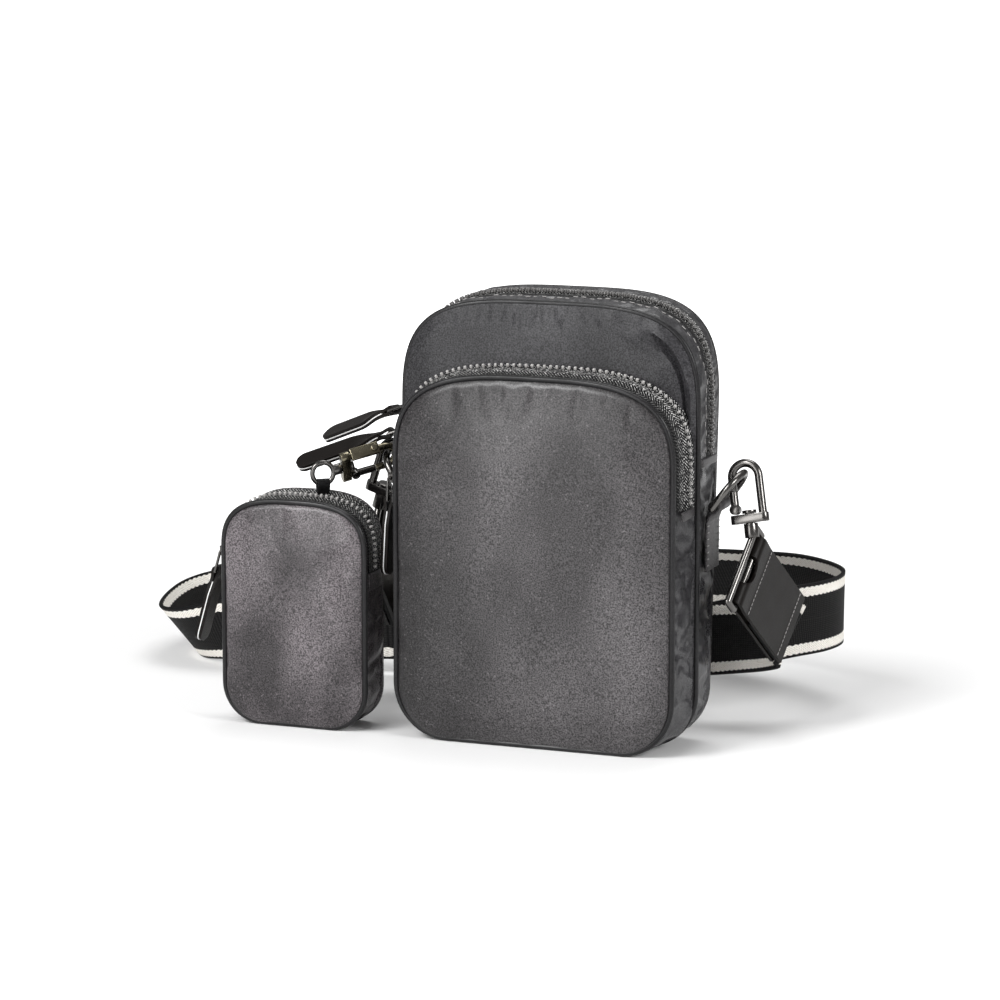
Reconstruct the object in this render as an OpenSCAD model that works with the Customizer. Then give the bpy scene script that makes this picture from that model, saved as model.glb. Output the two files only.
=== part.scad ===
// Crossbody phone pouch with a zipped front pocket, a small zip pouch on a clasp,
// and a webbing strap on swivel hooks, lying in loops behind the pouch.
// Millimetres, Z up, origin at the middle of the base on the floor, the front towards minus Y.

/* [Main pouch] */
// Width across the sides
main_w = 125; // [115:1:135]
// Height of the front panel
main_h = 178.5; // [170:0.5:190]
// Extra height of the rear edge of the zip gusset
main_crown = 4; // [2:0.5:6]
// Depth of the main compartment at the base
depth_low = 20; // [17:0.5:23]
// Depth of the main compartment at the top
depth_top = 33; // [29:0.5:36]
// Height of the seam where the zip ends
zip_end_z = 118; // [112:1:122]
// Height where the top curve starts
curve_z = 130; // [126:1:136]
// Bottom corner radius
corner_r = 22; // [18:1:26]

/* [Front pocket] */
// How far the padded panel stands in from the main pouch's sides
pocket_in = 4; // [3.5:0.5:7]
// How far the pocket's back edge stands in from the main pouch's sides
pocket_back_in = 0.5; // [0.3:0.1:2]
// Height of the padded panel
pocket_h = 150.5; // [144:0.5:154]
// Height of the zip where it meets the main panel
pocket_back_h = 154.5; // [152:0.5:158]
// Depth of the pocket
pocket_d = 20; // [16:0.5:24]
// Height where the pocket's zip ends
pocket_end_z = 100; // [94:1:104]
// Height where the pocket's top curve starts
pocket_curve_z = 112; // [110:1:118]
// How far the padding stands out
pocket_pad = 4.5; // [3:0.5:6]

/* [Mini pouch] */
// Width
mini_w = 62; // [56:1:64]
// Height of the front panel
mini_h = 94; // [88:1:94]
// Extra height of the rear edge
mini_crown = 3; // [1:0.5:3.5]
// Depth
mini_d = 22; // [18:0.5:22.5]
// Height where the mini zip ends
mini_end_z = 66; // [62:1:68]
// Height where the mini pouch's top curve starts
mini_curve_z = 72; // [71:1:76]
// Bottom corner radius
mini_corner_r = 16; // [12:1:18]
// How far the padding stands out
mini_pad = 3; // [2:0.5:4]
// Distance of its middle from the side of the main pouch
mini_out = 42; // [40.5:0.5:47.5]

/* [Cloth and leather] */
// Panel cloth with its padding
panel_t = 1.6; // [1.2:0.1:2]
// Padded back panel
back_t = 2.4; // [2:0.1:3]
// Gusset cloth
gusset_t = 1.4; // [1:0.1:1.8]
// Lining cloth
lining_t = 0.6; // [0.5:0.1:0.8]
// How far the piping stands out
piping_out = 0.8; // [0.5:0.1:1]
// Leather
leather_t = 1.5; // [1.2:0.1:1.8]

/* [Zips] */
// Width of the row of teeth
teeth_w = 4.4; // [3.6:0.1:5]
// Height of the teeth above the tape
teeth_h = 2; // [1.4:0.1:2.4]
// Length of a zip pull
pull_len = 42; // [30:1:44]
// Width of a zip pull
pull_w = 9; // [7:0.5:10]

/* [Hardware] */
// Inner width of the side D-rings
ring_in = 18; // [16:1:20]
// Radius of the D-ring wire
ring_r = 1.5; // [1.3:0.05:1.6]
// Radius of the hook wire
hook_r = 1.7; // [1.5:0.05:1.8]
// Inner width of the hook
hook_in = 8; // [7.4:0.2:9]
// Height of the D-rings' straight bars
ring_bar_z = 98.5; // [98:0.5:101]
// Length of a hook from the D-ring to its base ring
hook_len = 26; // [25.5:0.5:28]

/* [Strap] */
// Webbing width
web_w = 30; // [27:1:31]
// Webbing thickness
web_t = 1.6; // [1.2:0.1:2]
// Length of the leather strap tabs
strap_tab_len = 46; // [42:1:50]
// Width of the leather strap tabs
strap_tab_w = 31; // [28:0.5:33]

/* [Hidden] */
$fn = 32;
clear = 0.3;
run = 0.08;
over = 1;
half = 1 / 2;
main_hw = main_w * half;
round_n = 3.6;
front_y = panel_t * half;
pipe_t = panel_t;
gusset_y = front_y + pipe_t;
seam_y = -pocket_d;
full_h = main_h + main_crown;
root_share = 0.45;
tooth_pitch = 3;
steps = 30;
fine = 120;
corner_steps = 6;

// Rear face of the main pouch, which leans back towards the top
function rear_y(z) = depth_low + (depth_top - depth_low) * z / full_h;
// Depth between the piping and the back panel, as a share
function deep(share, z) = gusset_y + share * (rear_y(z) - back_t - gusset_y);

// Distances along a row of points, and the same row shared out evenly
function gone(p) = [for (i = 0, d = 0; i < len(p); d = d + (i + 1 < len(p) ? norm(p[i + 1] - p[i]) : 0),
    i = i + 1) d];
function even(p, count) = let (g = gone(p), all = g[len(g) - 1],
    tx = [for (i = [0:len(p) - 1]) [g[i], p[i][0]]], tz = [for (i = [0:len(p) - 1]) [g[i], p[i][1]]])
    [for (i = [0:count]) [lookup(all * i / count, tx), lookup(all * i / count, tz)]];

// Top curve from the right side over to the left, and the outline below it
function curve(hw, z0, h, n) = [for (i = [0:fine]) let (a = 180 * i / fine)
    [hw * sign(cos(a)) * pow(abs(cos(a)), 2 / n), z0 + (h - z0) * pow(abs(sin(a)), 2 / n)]];
function arch(hw, low, z0, h, n, count) = even(concat([[hw, low]], curve(hw, z0, h, n), [[-hw, low]]), count);
function quarter(cx, cz, r, from) = [for (i = [0:corner_steps]) let (a = from + 90 * i / corner_steps)
    [cx + r * cos(a), cz + r * sin(a)]];
function bottom(hw, base, r) = concat(quarter(r - hw, base + r, r, 180), quarter(hw - r, base + r, r, 270));
function under(hw, top, base, r) = concat([[-hw, top]], bottom(hw, base, r), [[hw, top]]);
function whole(hw, base, r, z0, h, n) = concat(even(curve(hw, z0, h, n), steps), bottom(hw, base, r));

// Extrudes an outline drawn in X and Z from one depth to another
module plate(y0, y1) {
    translate([0, y1, 0]) rotate([90, 0, 0]) linear_extrude(y1 - y0) children();
}

// An open strip of cloth between four rows of points: outer front, outer back, inner front, inner back
module strip(of, ob, nf, nb) {
    n = len(of);
    points = concat(of, ob, nf, nb);
    faces = [for (i = [0:n - 2], f = [
        [i, i + 1, n + i + 1], [i, n + i + 1, n + i],
        [2 * n + i, 3 * n + i + 1, 2 * n + i + 1], [2 * n + i, 3 * n + i, 3 * n + i + 1],
        [i, 2 * n + i + 1, i + 1], [i, 2 * n + i, 2 * n + i + 1],
        [n + i, n + i + 1, 3 * n + i + 1], [n + i, 3 * n + i + 1, 3 * n + i]]) f];
    caps = [[0, n, 3 * n], [0, 3 * n, 2 * n],
        [n - 1, 4 * n - 1, 2 * n - 1], [n - 1, 3 * n - 1, 4 * n - 1]];
    polyhedron(points, concat(faces, caps), convexity = 8);
}

// A padded panel: flat behind, swelling to the front
pad_shares = [1, 0.93, 0.78, 0.5];
module padded(outline, mid, y_back, y_seam, pad) {
    n = len(outline);
    rings = concat([[1, y_back]], [for (s = pad_shares) [s, y_seam - pad * sqrt(1 - s * s)]]);
    points = concat([for (r = rings, p = outline) [p[0] * r[0], r[1], mid + (p[1] - mid) * r[0]]],
        [[0, y_seam - pad, mid]]);
    last = len(points) - 1;
    k = len(rings);
    sides = [for (r = [0:k - 2], i = [0:n - 1], f = [
        [r * n + i, (r + 1) * n + i, (r + 1) * n + (i + 1) % n],
        [r * n + i, (r + 1) * n + (i + 1) % n, r * n + (i + 1) % n]]) f];
    cap = [for (i = [0:n - 1]) [(k - 1) * n + i, last, (k - 1) * n + (i + 1) % n]];
    polyhedron(points, concat(sides, cap, [[for (i = [0:n - 1]) i]]), convexity = 4);
}

// Evenly spaced spots on a row of points, and the same spots moved out from the cloth
function spots(line, count) = let (g = gone([for (q = line) [q[0], q[2]]]), all = g[len(g) - 1],
    p = even([for (q = line) [q[0], q[2]]], count), ys = [for (i = [0:len(line) - 1]) [g[i], line[i][1]]])
    [for (i = [0:count]) [p[i][0], lookup(all * i / count, ys), p[i][1]]];
function outward(p, i) = let (d = p[min(i + 1, len(p) - 1)] - p[max(i - 1, 0)])
    [d[2], 0, -d[0]] / norm([d[0], d[2]]);
function moved(p, tall, low) = [for (i = [0:len(p) - 1]) p[i] + outward(p, i) * (i % 2 == 0 ? tall : low)];

// A row of zip teeth standing on the tape between two rows of its points
module teeth(front, back, h, pitch) {
    g = gone(front);
    count = 2 * floor(g[len(g) - 1] / pitch);
    f = spots(front, count);
    b = spots(back, count);
    foot = clear * half;
    root = h * root_share;
    strip(moved(f, h, root), moved(b, h, root), moved(f, foot, foot), moved(b, foot, foot));
}

// Rows of points round the main pouch at a share of its depth and a distance in from the outside
function over_main(share, inset, shift = 0) = [for (p = arch(main_hw - inset, zip_end_z, curve_z,
    main_h + main_crown * (share + shift / depth_top) - inset, round_n, steps))
    [p[0], deep(share, p[1]) + shift, p[1]]];
function under_main(share, inset) = [for (p = under(main_hw - inset, zip_end_z, inset, corner_r - inset))
    [p[0], deep(share, p[1]), p[1]]];
module main_band(a, b) {
    strip(over_main(a, 0), over_main(b, 0), over_main(a, gusset_t), over_main(b, gusset_t));
}
tape_shares = [0.42, 0.62, 0.82];

module main_front_panel() {
    color("#3d3c3e") plate(-front_y, front_y)
        polygon(whole(main_hw, 0, corner_r, curve_z, main_h, round_n));
}
module main_piping() {
    color("#222224") plate(front_y, gusset_y) difference() {
        polygon(whole(main_hw + piping_out, 0, corner_r + piping_out, curve_z, main_h + piping_out, round_n));
        polygon(whole(main_hw - gusset_t, gusset_t, corner_r - gusset_t, curve_z, main_h - gusset_t,
            round_n));
    }
}
module main_back_panel() {
    n = round_n;
    out = whole(main_hw, 0, corner_r, curve_z, main_h + main_crown, n);
    count = len(out);
    color("#39383a") polyhedron(concat([for (p = out) [p[0], rear_y(p[1]) - back_t, p[1]]],
        [for (p = out) [p[0], rear_y(p[1]), p[1]]]),
        concat([[for (i = [0:count - 1]) count - 1 - i]], [[for (i = [0:count - 1]) count + i]],
        [for (i = [0:count - 1]) [i, (i + 1) % count, count + (i + 1) % count, count + i]]), convexity = 4);
}
module main_gusset() {
    color("#3a393b") strip(under_main(0, 0), under_main(1, 0), under_main(0, gusset_t),
        under_main(1, gusset_t));
}
module main_zip_gusset_front() {
    color("#3f3e40") main_band(0, tape_shares[0]);
}
module main_zip_gusset_rear() {
    color("#3f3e40") main_band(tape_shares[2], 1);
}
module main_zip_tape() {
    color("#1c1c1e") main_band(tape_shares[0], tape_shares[2]);
}
module main_zip_teeth() {
    color("#6b6a6c") teeth(over_main(tape_shares[1], 0, -teeth_w * half),
        over_main(tape_shares[1], 0, teeth_w * half), teeth_h, tooth_pitch);
}

// Small cloth tabs sewn over the zip ends, one on each side
tab_t = 1;
module main_zip_end_tabs() {
    y_mid = deep(tape_shares[1], zip_end_z);
    color("#2a2a2c") for (side = [0, 1]) mirror([side, 0, 0])
        translate([main_hw, y_mid - end_tab_w * half, zip_end_z - end_tab_h])
            cube([tab_t, end_tab_w, end_tab_h]);
}
end_tab_w = 9;
end_tab_h = 7;

// A thin bag inside a pouch, open under the zip
module main_lining() {
    gap = gusset_t + clear;
    color("#202124") difference() {
        lining_block(gap, gusset_y + clear, back_t + clear);
        translate([0, 0, over]) lining_block(gap + lining_t, gusset_y + clear + lining_t,
            back_t + clear + lining_t);
        translate([-main_w, -main_w, zip_end_z]) cube([2 * main_w, 2 * main_w, main_h]);
    }
}
module lining_block(inset, y0, behind) {
    intersection() {
        plate(0, 2 * depth_top) polygon(whole(main_hw - inset, inset, corner_r - inset, curve_z,
            main_h - inset, round_n));
        translate([-main_w, 0, 0]) rotate([90, 0, 90]) linear_extrude(2 * main_w)
            polygon([[y0, 0], [rear_y(0) - behind, 0], [rear_y(main_h) - behind, main_h], [y0, main_h]]);
    }
}
divider_share = 0.55;
module inner_divider() {
    low = gusset_t + clear + lining_t + clear + over;
    color("#26272a") translate([0, depth_low * divider_share, 0]) plate(0, lining_t) intersection() {
        polygon(whole(main_hw - low, low, corner_r - low, curve_z, main_h - low, round_n));
        translate([-main_hw, 0]) square([main_w, zip_end_z - corner_r]);
    }
}

// Front pocket: its outline widens from the padded panel back to the main panel
pocket_hw = main_hw - pocket_in;
pocket_back_hw = main_hw - pocket_back_in;
pocket_n = 3.2;
pocket_pipe_y = seam_y + panel_t;
pocket_band_y = pocket_pipe_y + pipe_t;
pocket_end_y = -front_y;
pocket_teeth_w = 2.4;
pocket_tab_w = 6;
function between(a, b, share) = a + (b - a) * share;
function pocket_y(share) = between(pocket_band_y, pocket_end_y, share);
function over_pocket(share, inset) = [for (p = arch(between(pocket_hw, pocket_back_hw, share) - inset,
    pocket_end_z, pocket_curve_z, between(pocket_h, pocket_back_h, share) - inset, pocket_n, steps))
    [p[0], pocket_y(share), p[1]]];
function under_pocket(share, inset) = [for (p = under(between(pocket_hw, pocket_back_hw, share) - inset,
    pocket_end_z, inset, corner_r - inset)) [p[0], pocket_y(share), p[1]]];
teeth_share = 0.7;

module pocket_panel() {
    color("#444345") padded(whole(pocket_hw, 0, corner_r, pocket_curve_z, pocket_h, pocket_n),
        pocket_h * half, pocket_pipe_y, seam_y, pocket_pad);
}
module pocket_piping() {
    color("#222224") plate(pocket_pipe_y, pocket_band_y) difference() {
        polygon(whole(pocket_hw + piping_out, 0, corner_r + piping_out, pocket_curve_z, pocket_h + piping_out,
            pocket_n));
        polygon(whole(pocket_hw - gusset_t, gusset_t, corner_r - gusset_t, pocket_curve_z,
            pocket_h - gusset_t, pocket_n));
    }
}
module pocket_gusset() {
    color("#3a393b") strip(under_pocket(0, 0), under_pocket(1, 0), under_pocket(0, gusset_t),
        under_pocket(1, gusset_t));
}
module pocket_zip_tape() {
    color("#1c1c1e") strip(over_pocket(0, 0), over_pocket(1, 0), over_pocket(0, gusset_t),
        over_pocket(1, gusset_t));
}
module pocket_zip_teeth() {
    side = pocket_teeth_w * half / (pocket_end_y - pocket_band_y);
    color("#6b6a6c") teeth(over_pocket(teeth_share - side, 0), over_pocket(teeth_share + side, 0),
        teeth_h, tooth_pitch);
}
module pocket_zip_end_tabs() {
    out = between(pocket_hw, pocket_back_hw, teeth_share);
    color("#2a2a2c") for (side = [0, 1]) mirror([side, 0, 0])
        translate([out + clear, pocket_y(teeth_share) - pocket_tab_w + flange_t, pocket_end_z - end_tab_h])
            cube([tab_t, pocket_tab_w, end_tab_h]);
}
module pocket_lining() {
    gap = gusset_t + clear;
    color("#202124") difference() {
        plate(pocket_band_y + clear, pocket_end_y - clear) polygon(whole(pocket_hw - gap, gap, corner_r - gap,
            pocket_curve_z, pocket_h - gap, pocket_n));
        plate(pocket_band_y + clear + lining_t, pocket_end_y - clear - lining_t) polygon(whole(
            pocket_hw - gap - lining_t, gap + lining_t, corner_r - gap - lining_t, pocket_curve_z,
            pocket_h - gap - lining_t, pocket_n));
        translate([-main_w, -main_w, pocket_end_z]) cube([2 * main_w, 2 * main_w, main_h]);
    }
}

// Zip slider: the first axis points out of the cloth, Z runs along the zip
slider_t = 1.2;
slider_len = 8;
flange_t = 0.9;
flange_foot = 0.6;
side_run = 0.5;
bail_w = 2.4;
bail_h = 3.2;
bail_len = 4;
link_r = 0.6;
link_w = 7;
link_len = 9;
bail_bore_r = link_r + run;
function bail_x() = teeth_h + clear + slider_t + bail_h - bail_bore_r - slider_t * half;
module slider(w, turn = 0) {
    inner = w * half + side_run;
    top = teeth_h + clear;
    bail_in = slider_t + bail_h - bail_bore_r - slider_t * half;
    difference() {
        union() {
            translate([top, -inner - flange_t, -slider_len * half])
                cube([slider_t, 2 * (inner + flange_t), slider_len]);
            for (side = [0, 1]) mirror([0, side, 0]) translate([flange_foot, inner, -slider_len * half])
                cube([top + slider_t - flange_foot, flange_t, slider_len]);
            translate([bail_x(), 0, 0]) rotate([0, 0, turn])
                translate([slider_t * half - bail_in, -bail_w * half, -bail_len * half])
                    cube([bail_h + slider_t * half, bail_w, bail_len]);
        }
        translate([bail_x(), 0, 0]) rotate([90, 0, turn]) translate([0, 0, -bail_w])
            cylinder(r = bail_bore_r, h = 2 * bail_w);
    }
}

// Wire link and leather pull, hanging down from the bail
module at_bail(out, y, z, turn, swing) {
    translate([out + bail_x(), y, z]) rotate([0, 0, turn]) rotate([0, -swing, 0]) children();
}
module pull_link() {
    for (z = [0, -link_len]) translate([0, link_w * half, z]) rotate([90, 0, 0])
        cylinder(r = link_r, h = link_w);
    for (side = [-1, 1]) translate([0, side * link_w * half, 0]) {
        translate([0, 0, -link_len]) cylinder(r = link_r, h = link_len);
        for (z = [0, -link_len]) translate([0, 0, z]) sphere(r = link_r);
    }
}
fold_r = 2.4;
tip_steps = 12;
neck_w = link_w - 2 * link_r - 2 * clear;
module pull_leather(len) {
    translate([0, 0, -link_len]) difference() {
        union() {
            translate([0, neck_w * half, 0]) rotate([90, 0, 0]) cylinder(r = fold_r, h = neck_w);
            translate([-leather_t, 0, 0]) rotate([90, 0, 90]) linear_extrude(2 * leather_t)
                polygon(concat([[neck_w * half, 0], [-neck_w * half, 0], [-pull_w * half, -pull_w]],
                    [for (i = [0:tip_steps]) let (a = 180 + 180 * i / tip_steps)
                        [pull_w * half * cos(a), pull_w * half - len + pull_w * half * sin(a)]],
                    [[pull_w * half, -pull_w]]));
        }
        translate([0, link_w, 0]) rotate([90, 0, 0]) cylinder(r = link_r + clear * half, h = 2 * link_w);
    }
}

// Places of the sliders, all on the left side
slider_gap = 1;
low_slider_z = zip_end_z + slider_len * half + slider_gap;
main_slider_z = [low_slider_z + slider_len + slider_gap, low_slider_z];
main_pull_swing = [69, 69.5];
main_pull_turn = [20, -11];
slider_y = deep(tape_shares[1], (main_slider_z[0] + main_slider_z[1]) * half);
module left(out, y, z) {
    mirror([1, 0, 0]) translate([out, y, z]) children();
}
module main_slider(i) {
    color("#4c4a49") left(main_hw, slider_y, main_slider_z[i]) slider(teeth_w, main_pull_turn[i]);
}
module main_pull_part(i) {
    left(main_hw, slider_y, main_slider_z[i])
        at_bail(0, 0, 0, main_pull_turn[i], main_pull_swing[i]) children();
}
module main_slider_upper() { main_slider(0); }
module main_slider_lower() { main_slider(1); }
module main_pull_link_upper() { color("#6f6b68") main_pull_part(0) pull_link(); }
module main_pull_link_lower() { color("#6f6b68") main_pull_part(1) pull_link(); }
module main_pull_upper() { color("#161617") main_pull_part(0) pull_leather(pull_len); }
module main_pull_lower() { color("#161617") main_pull_part(1) pull_leather(pull_len); }

pocket_slider_z = pocket_end_z + slider_len * half + over;
pocket_slider_y = pocket_y(teeth_share);
pocket_slider_x = between(pocket_hw, pocket_back_hw, teeth_share);
pocket_pull_swing = 3;
small_pull_share = 0.75;
module pocket_slider() {
    color("#4c4a49") left(pocket_slider_x + clear * half, pocket_slider_y, pocket_slider_z)
        slider(pocket_teeth_w);
}
module pocket_pull_part() {
    left(pocket_slider_x + clear * half, pocket_slider_y, pocket_slider_z)
        at_bail(0, 0, 0, 0, pocket_pull_swing) children();
}
module pocket_pull_link() { color("#6f6b68") pocket_pull_part() pull_link(); }
module pocket_pull() { color("#161617") pocket_pull_part() pull_leather(pull_len * small_pull_share); }

// Mini pouch
mini_hw = mini_w * half;
mini_n = 3;
mini_back_y = mini_d + seam_y;
mini_pipe_y = seam_y + panel_t;
mini_band_y = mini_pipe_y + pipe_t;
mini_end_y = mini_back_y - panel_t;
mini_teeth_w = 3;
function mini_y(share) = between(mini_band_y, mini_end_y, share);
function over_mini(share, inset) = [for (p = arch(mini_hw - inset, mini_end_z, mini_curve_z,
    mini_h + mini_crown * share - inset, mini_n, steps)) [p[0], mini_y(share), p[1]]];
function under_mini(share, inset) = [for (p = under(mini_hw - inset, mini_end_z, inset,
    mini_corner_r - inset)) [p[0], mini_y(share), p[1]]];
function mini_whole(inset, h) = whole(mini_hw - inset, max(inset, 0), mini_corner_r - inset, mini_curve_z,
    h - inset, mini_n);
module mini_place() {
    translate([-main_hw - mini_out, 0, 0]) children();
}
module mini_front_panel() {
    color("#474446") mini_place() padded(mini_whole(0, mini_h), mini_h * half, mini_pipe_y, seam_y, mini_pad);
}
module mini_piping() {
    color("#222224") mini_place() plate(mini_pipe_y, mini_band_y) difference() {
        polygon(mini_whole(-piping_out, mini_h));
        polygon(mini_whole(gusset_t, mini_h));
    }
}
module mini_back_panel() {
    color("#39383a") mini_place() plate(mini_end_y, mini_back_y) polygon(mini_whole(0, mini_h + mini_crown));
}
module mini_gusset() {
    color("#3c3a3c") mini_place() strip(under_mini(0, 0), under_mini(1, 0), under_mini(0, gusset_t),
        under_mini(1, gusset_t));
}
module mini_zip_tape() {
    color("#1c1c1e") mini_place() strip(over_mini(0, 0), over_mini(1, 0), over_mini(0, gusset_t),
        over_mini(1, gusset_t));
}
module mini_zip_teeth() {
    side = mini_teeth_w * half / (mini_end_y - mini_band_y);
    color("#6b6a6c") mini_place() teeth(over_mini(mini_teeth_share - side, 0),
        over_mini(mini_teeth_share + side, 0), teeth_h, tooth_pitch);
}
mini_teeth_share = 0.45;
module mini_zip_end_tabs() {
    color("#2a2a2c") mini_place() for (side = [0, 1]) mirror([side, 0, 0])
        translate([mini_hw, mini_y(mini_teeth_share) - end_tab_w * half, mini_end_z - end_tab_h])
            cube([tab_t, end_tab_w, end_tab_h]);
}
module mini_lining() {
    gap = gusset_t + clear;
    color("#202124") mini_place() difference() {
        plate(mini_band_y + clear, mini_end_y - clear) polygon(mini_whole(gap, mini_h));
        plate(mini_band_y + clear + lining_t, mini_end_y - clear - lining_t)
            polygon(mini_whole(gap + lining_t, mini_h));
        translate([-mini_w, -main_w, mini_end_z]) cube([2 * mini_w, 2 * main_w, main_h]);
    }
}
mini_slider_z = mini_end_z + slider_len * half + clear;
mini_pull_swing = 16;
module mini_slider() {
    color("#4c4a49") mini_place() left(mini_hw, mini_y(mini_teeth_share), mini_slider_z) slider(mini_teeth_w);
}
module mini_pull_part() {
    mini_place() left(mini_hw, mini_y(mini_teeth_share), mini_slider_z)
        at_bail(0, 0, 0, 0, mini_pull_swing) children();
}
module mini_pull_link() { color("#6f6b68") mini_pull_part() pull_link(); }
module mini_pull() { color("#161617") mini_pull_part() pull_leather(pull_len * small_pull_share); }

// Side D-rings on folded cloth tabs
ring_stand = 4.5;
ring_x = main_hw + ring_stand;
ring_y = 17;
ring_lean = 36;
ring_r_mid = ring_in * half + ring_r;
ring_leg = 6;
ring_top = ring_leg + ring_r_mid;
side_tab_w = ring_in - 4 * clear;
side_tab_t = 1.1;
side_tab_h = 28;
module d_ring() {
    translate([ring_x, ring_y, ring_bar_z]) rotate([0, ring_lean, 0]) {
        translate([0, ring_r_mid, 0]) rotate([90, 0, 0]) cylinder(r = ring_r, h = 2 * ring_r_mid);
        for (side = [-1, 1]) translate([0, side * ring_r_mid, 0]) {
            sphere(r = ring_r);
            cylinder(r = ring_r, h = ring_leg);
        }
        translate([0, 0, ring_leg]) rotate([90, 0, 90]) rotate_extrude(angle = 180)
            translate([ring_r_mid, 0]) circle(r = ring_r);
    }
}
module d_ring_right() { color("#55514f") d_ring(); }
module d_ring_left() { color("#55514f") mirror([1, 0, 0]) d_ring(); }

// The tab: a sleeve round the straight bar, and two layers sewn down the side
module side_tab() {
    bore = ring_r + run;
    translate([0, ring_y, 0]) difference() {
        union() {
            translate([ring_x, side_tab_w * half, ring_bar_z]) rotate([90, 0, 0])
                cylinder(r = bore + side_tab_t, h = side_tab_w);
            translate([main_hw, -side_tab_w * half, ring_bar_z - side_tab_h])
                cube([2 * side_tab_t, side_tab_w, side_tab_h - bore]);
            translate([main_hw, -side_tab_w * half, ring_bar_z - bore - side_tab_t])
                cube([ring_x - main_hw, side_tab_w, side_tab_t * 2]);
        }
        translate([ring_x, side_tab_w, ring_bar_z]) rotate([90, 0, 0]) cylinder(r = bore, h = 2 * side_tab_w);
    }
}
module side_tab_right() { color("#2f2e30") side_tab(); }
module side_tab_left() { color("#2f2e30") mirror([1, 0, 0]) side_tab(); }

// Snap hook: its top bow hangs on a D-ring, and a sprung gate closes the open side
block_w = 4.6;
spring_r = 1;
spring_h = 3;
head_h = 1.2;
rim = 1;
slack = 1;
function bow_z(inner) = ring_r + slack - inner * half;
module hook_body(inner, r, inside, nose, block, pin_r) {
    mid = inner * half + r;
    translate([0, 0, bow_z(inner)]) {
        rotate([90, 0, 0]) rotate_extrude(angle = 180) translate([mid, 0]) circle(r = r);
        translate([mid, 0, -inside]) cylinder(r = r, h = inside);
        translate([-mid, 0, -nose]) cylinder(r = r, h = nose);
        difference() {
            union() {
                translate([-mid, -block_w * half, -inside - block]) cube([2 * mid, block_w, block]);
                for (x = [-mid, mid]) translate([x, 0, -inside - block])
                    cylinder(r = block_w * half, h = block);
            }
            translate([0, 0, -inside - 2 * block]) cylinder(r = pin_r + run, h = 3 * block);
            translate([-mid, 0, -inside - spring_h]) cylinder(r = spring_r + run, h = spring_h + over);
        }
    }
}
module hook_gate(inner, r, inside, nose) {
    foot_r = r + clear;
    translate([-inner * half - r, 0, bow_z(inner) - inside + clear + foot_r]) {
        cylinder(r = r, h = inside - nose - 2 * clear - foot_r);
        translate([0, foot_r, 0]) rotate([90, 0, 0]) cylinder(r = foot_r, h = 2 * foot_r);
    }
}
module gate_spring(inner, r, inside) {
    translate([-inner * half - r, 0, bow_z(inner) - inside - spring_h]) difference() {
        cylinder(r = spring_r, h = spring_h);
        translate([0, 0, -over]) cylinder(r = spring_r * half, h = spring_h + 2 * over);
    }
}
// Swivel pin with its head in the hook and a collar below, down to a given length
module swivel(inner, inside, block, pin_r, len) {
    low = bow_z(inner) - inside;
    translate([0, 0, low + clear]) cylinder(r = pin_r + rim, h = head_h);
    translate([0, 0, -len]) cylinder(r = pin_r, h = len + low + clear);
    translate([0, 0, -len]) cylinder(r = pin_r + rim, h = len + low - block - clear);
}

// Directions of the hooks: the turn about X and then about Y
hook_rx = [-10.4, 6.7];
hook_ry = [-11, -19.5];
hook_shift = [ring_in / 4, ring_in / 4];
hook_block = 3.6;
hook_pin_r = 1.9;
hook_nose = 5;
collar_len = 6;
hook_inside = hook_len - collar_len - hook_block + bow_z(hook_in);
function ring_place(shift) = let (h = ring_leg + sqrt(ring_r_mid * ring_r_mid - shift * shift))
    [ring_x + h * sin(ring_lean), ring_y + shift, ring_bar_z + h * cos(ring_lean)];
function up_of(i) = [sin(hook_ry[i]) * cos(hook_rx[i]), -sin(hook_rx[i]), cos(hook_ry[i]) * cos(hook_rx[i])];
function hook_low(i) = ring_place(hook_shift[i]) - hook_len * up_of(i);
module hook_place(i) {
    mirror([i, 0, 0]) translate(ring_place(hook_shift[i])) rotate([0, hook_ry[i], 0])
        rotate([hook_rx[i], 0, 0]) children();
}
module strap_hook(i) {
    color("#4f4b49") hook_place(i)
        hook_body(hook_in, hook_r, hook_inside, hook_nose, hook_block, hook_pin_r);
}
module strap_gate(i) { color("#3b3836") hook_place(i) hook_gate(hook_in, hook_r, hook_inside, hook_nose); }
module strap_spring(i) { color("#8a8784") hook_place(i) gate_spring(hook_in, hook_r, hook_inside); }
module hook_body_right() { strap_hook(0); }
module hook_body_left() { strap_hook(1); }
module hook_gate_right() { strap_gate(0); }
module hook_gate_left() { strap_gate(1); }
module hook_gate_spring_right() { strap_spring(0); }
module hook_gate_spring_left() { strap_spring(1); }

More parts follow.
